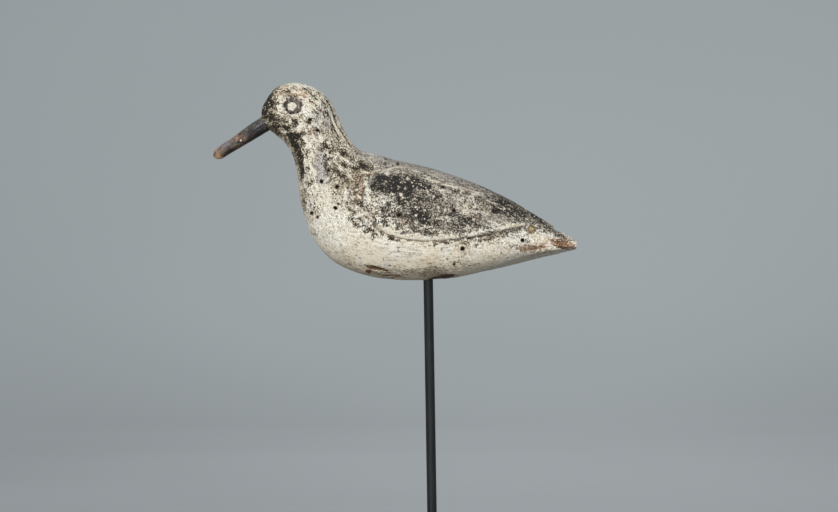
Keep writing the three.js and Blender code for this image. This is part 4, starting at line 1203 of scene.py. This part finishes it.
def backdrop():
    # A flat floor that runs up through a quarter circle into an upright round wall.
    turn = np.linspace(0, 0.5 * math.pi, 24)
    outer = studio["floorRadius"] + studio["coveRadius"]
    profile = [(r, 0) for r in np.linspace(0, studio["floorRadius"], 14)[1:-1]]
    profile += [
        (studio["floorRadius"] + studio["coveRadius"] * math.sin(a), studio["coveRadius"] * (1 - math.cos(a)))
        for a in turn
    ]
    profile += [(outer, h) for h in np.linspace(studio["coveRadius"], studio["wallTop"], 12)[1:]]
    profile = np.array(profile) * mm
    angle = np.linspace(0, 2 * math.pi, 144, endpoint=False)
    rings = np.stack([
        profile[:, :1] * np.cos(angle),
        profile[:, :1] * np.sin(angle),
        profile[:, 1:] + 0 * angle,
    ], axis=-1)
    steps, around = rings.shape[:2]
    i, j = np.meshgrid(np.arange(steps - 1), np.arange(around), indexing="ij")
    a, b = (i * around + j).ravel() + 1, (i * around + (j + 1) % around).ravel() + 1
    k = np.arange(around)
    quads = np.stack([a, a + around, b + around, b], axis=1).tolist()
    middle = np.stack([0 * k, 1 + k, 1 + (k + 1) % around], axis=1).tolist()
    mesh = bpy.data.meshes.new("backdrop")
    mesh.from_pydata([(0, 0, 0)] + rings.reshape(-1, 3).tolist(), [], middle + quads)
    mesh.shade_smooth()
    piece = bpy.data.objects.new("backdrop", mesh)
    bpy.context.scene.collection.objects.link(piece)
    piece.visible_diffuse = False
    material, start = newMaterial("plainBackdrop")
    place = start.node("TexCoord", output="Object")
    cloud = noise(place, 900, 1, 0.5)
    low, high = (tuple(share * value for value in studio["colour"]) + (1,) for share in (0.97, 1.02))
    colour = tint(smooth(-1.5, 1.5, cloud), low, high)
    glow = (0, 0, 0, 1)
    for light in ("wallGlow", "floorGlow"):
        across, deep = (value * mm for value in studio[light + "Reach"])
        off = start.node("VectorMath", {"operation": "SUBTRACT"}, {
            0: place, 1: tuple(value * mm for value in studio[light + "Place"])
        })
        off = start.node("VectorMath", {"operation": "DIVIDE"}, {0: off, 1: (across, deep, deep)})
        far = start.node("VectorMath", {"operation": "LENGTH"}, {0: off}, "Value")
        glow = tint(smooth(1, 0, far), glow, (*studio[light], 1))
    finishMaterial(start, colour, 0.95, bump(0.01 * noise(place, 4, 1, 0.5)), Specular_IOR_Level=0.1,
                   Emission_Color=glow, Emission_Strength=1.0)
    mesh.materials.append(material)


def softAir():
    # Light from all round: most from above and in front, some from behind, little from below.
    world = bpy.data.worlds.new("softAir")
    world.use_nodes = True
    world.node_tree.nodes.clear()
    start = Wire(world.node_tree)
    way = start.node("TexCoord", output="Generated")
    y, z = (start.node("SeparateXYZ", inputs={0: way}, output=k) for k in (1, 2))
    front = smooth(0.9, -0.6, y)
    reach = studio["airBack"] + (studio["airFront"] - studio["airBack"]) * front
    strength = studio["airLow"] + smooth(-1.0, 0.0, z) * reach
    air = start.node("Background", inputs={"Color": (0.98, 0.99, 1.0, 1), "Strength": strength})
    start.node("OutputWorld", inputs={"Surface": air})
    bpy.context.scene.world = world


def aim(thing, target, up):
    # Turns a lamp or a camera at its place so that it looks at the target, with its top towards up.
    back = np.array(thing.location) - np.array(target)
    back = back / np.linalg.norm(back)
    side = np.cross(up, back)
    side = side / np.linalg.norm(side)
    thing.rotation_euler = Matrix(np.stack([side, np.cross(back, side), back], axis=1).tolist()).to_euler()


def softbox(name, size, place, power):
    lamp = bpy.data.lights.new(name, "AREA")
    lamp.shape = "RECTANGLE"
    lamp.size, lamp.size_y = size[0] * mm, size[1] * mm
    lamp.energy = power
    box = bpy.data.objects.new(name, lamp)
    bpy.context.scene.collection.objects.link(box)
    box.location = [value * mm for value in place]
    aim(box, (0, 0, 0.27), (0, 0, 1))
    box.visible_camera = False


backdrop()
softAir()
softbox("keyLight", studio["keySize"], studio["keyPlace"], studio["keyPower"])
bpy.context.scene.view_settings.view_transform = "Standard"

lens = bpy.data.cameras.new("sideView")
lens.lens = lens.sensor_width * picture["distance"] / (picture["size"][0] * picture["pixel"])
lens.clip_end = 30
camera = bpy.data.objects.new("sideView", lens)
bpy.context.scene.collection.objects.link(camera)
aimX, aimZ = studio["cameraAim"]
camera.location = (aimX * mm, -picture["distance"] * mm, aimZ * mm)
lean = math.radians(picture["lean"])
aim(camera, (aimX * mm, 0, aimZ * mm), (math.sin(lean), 0, math.cos(lean)))
bpy.context.scene.camera = camera
print("studio lit")
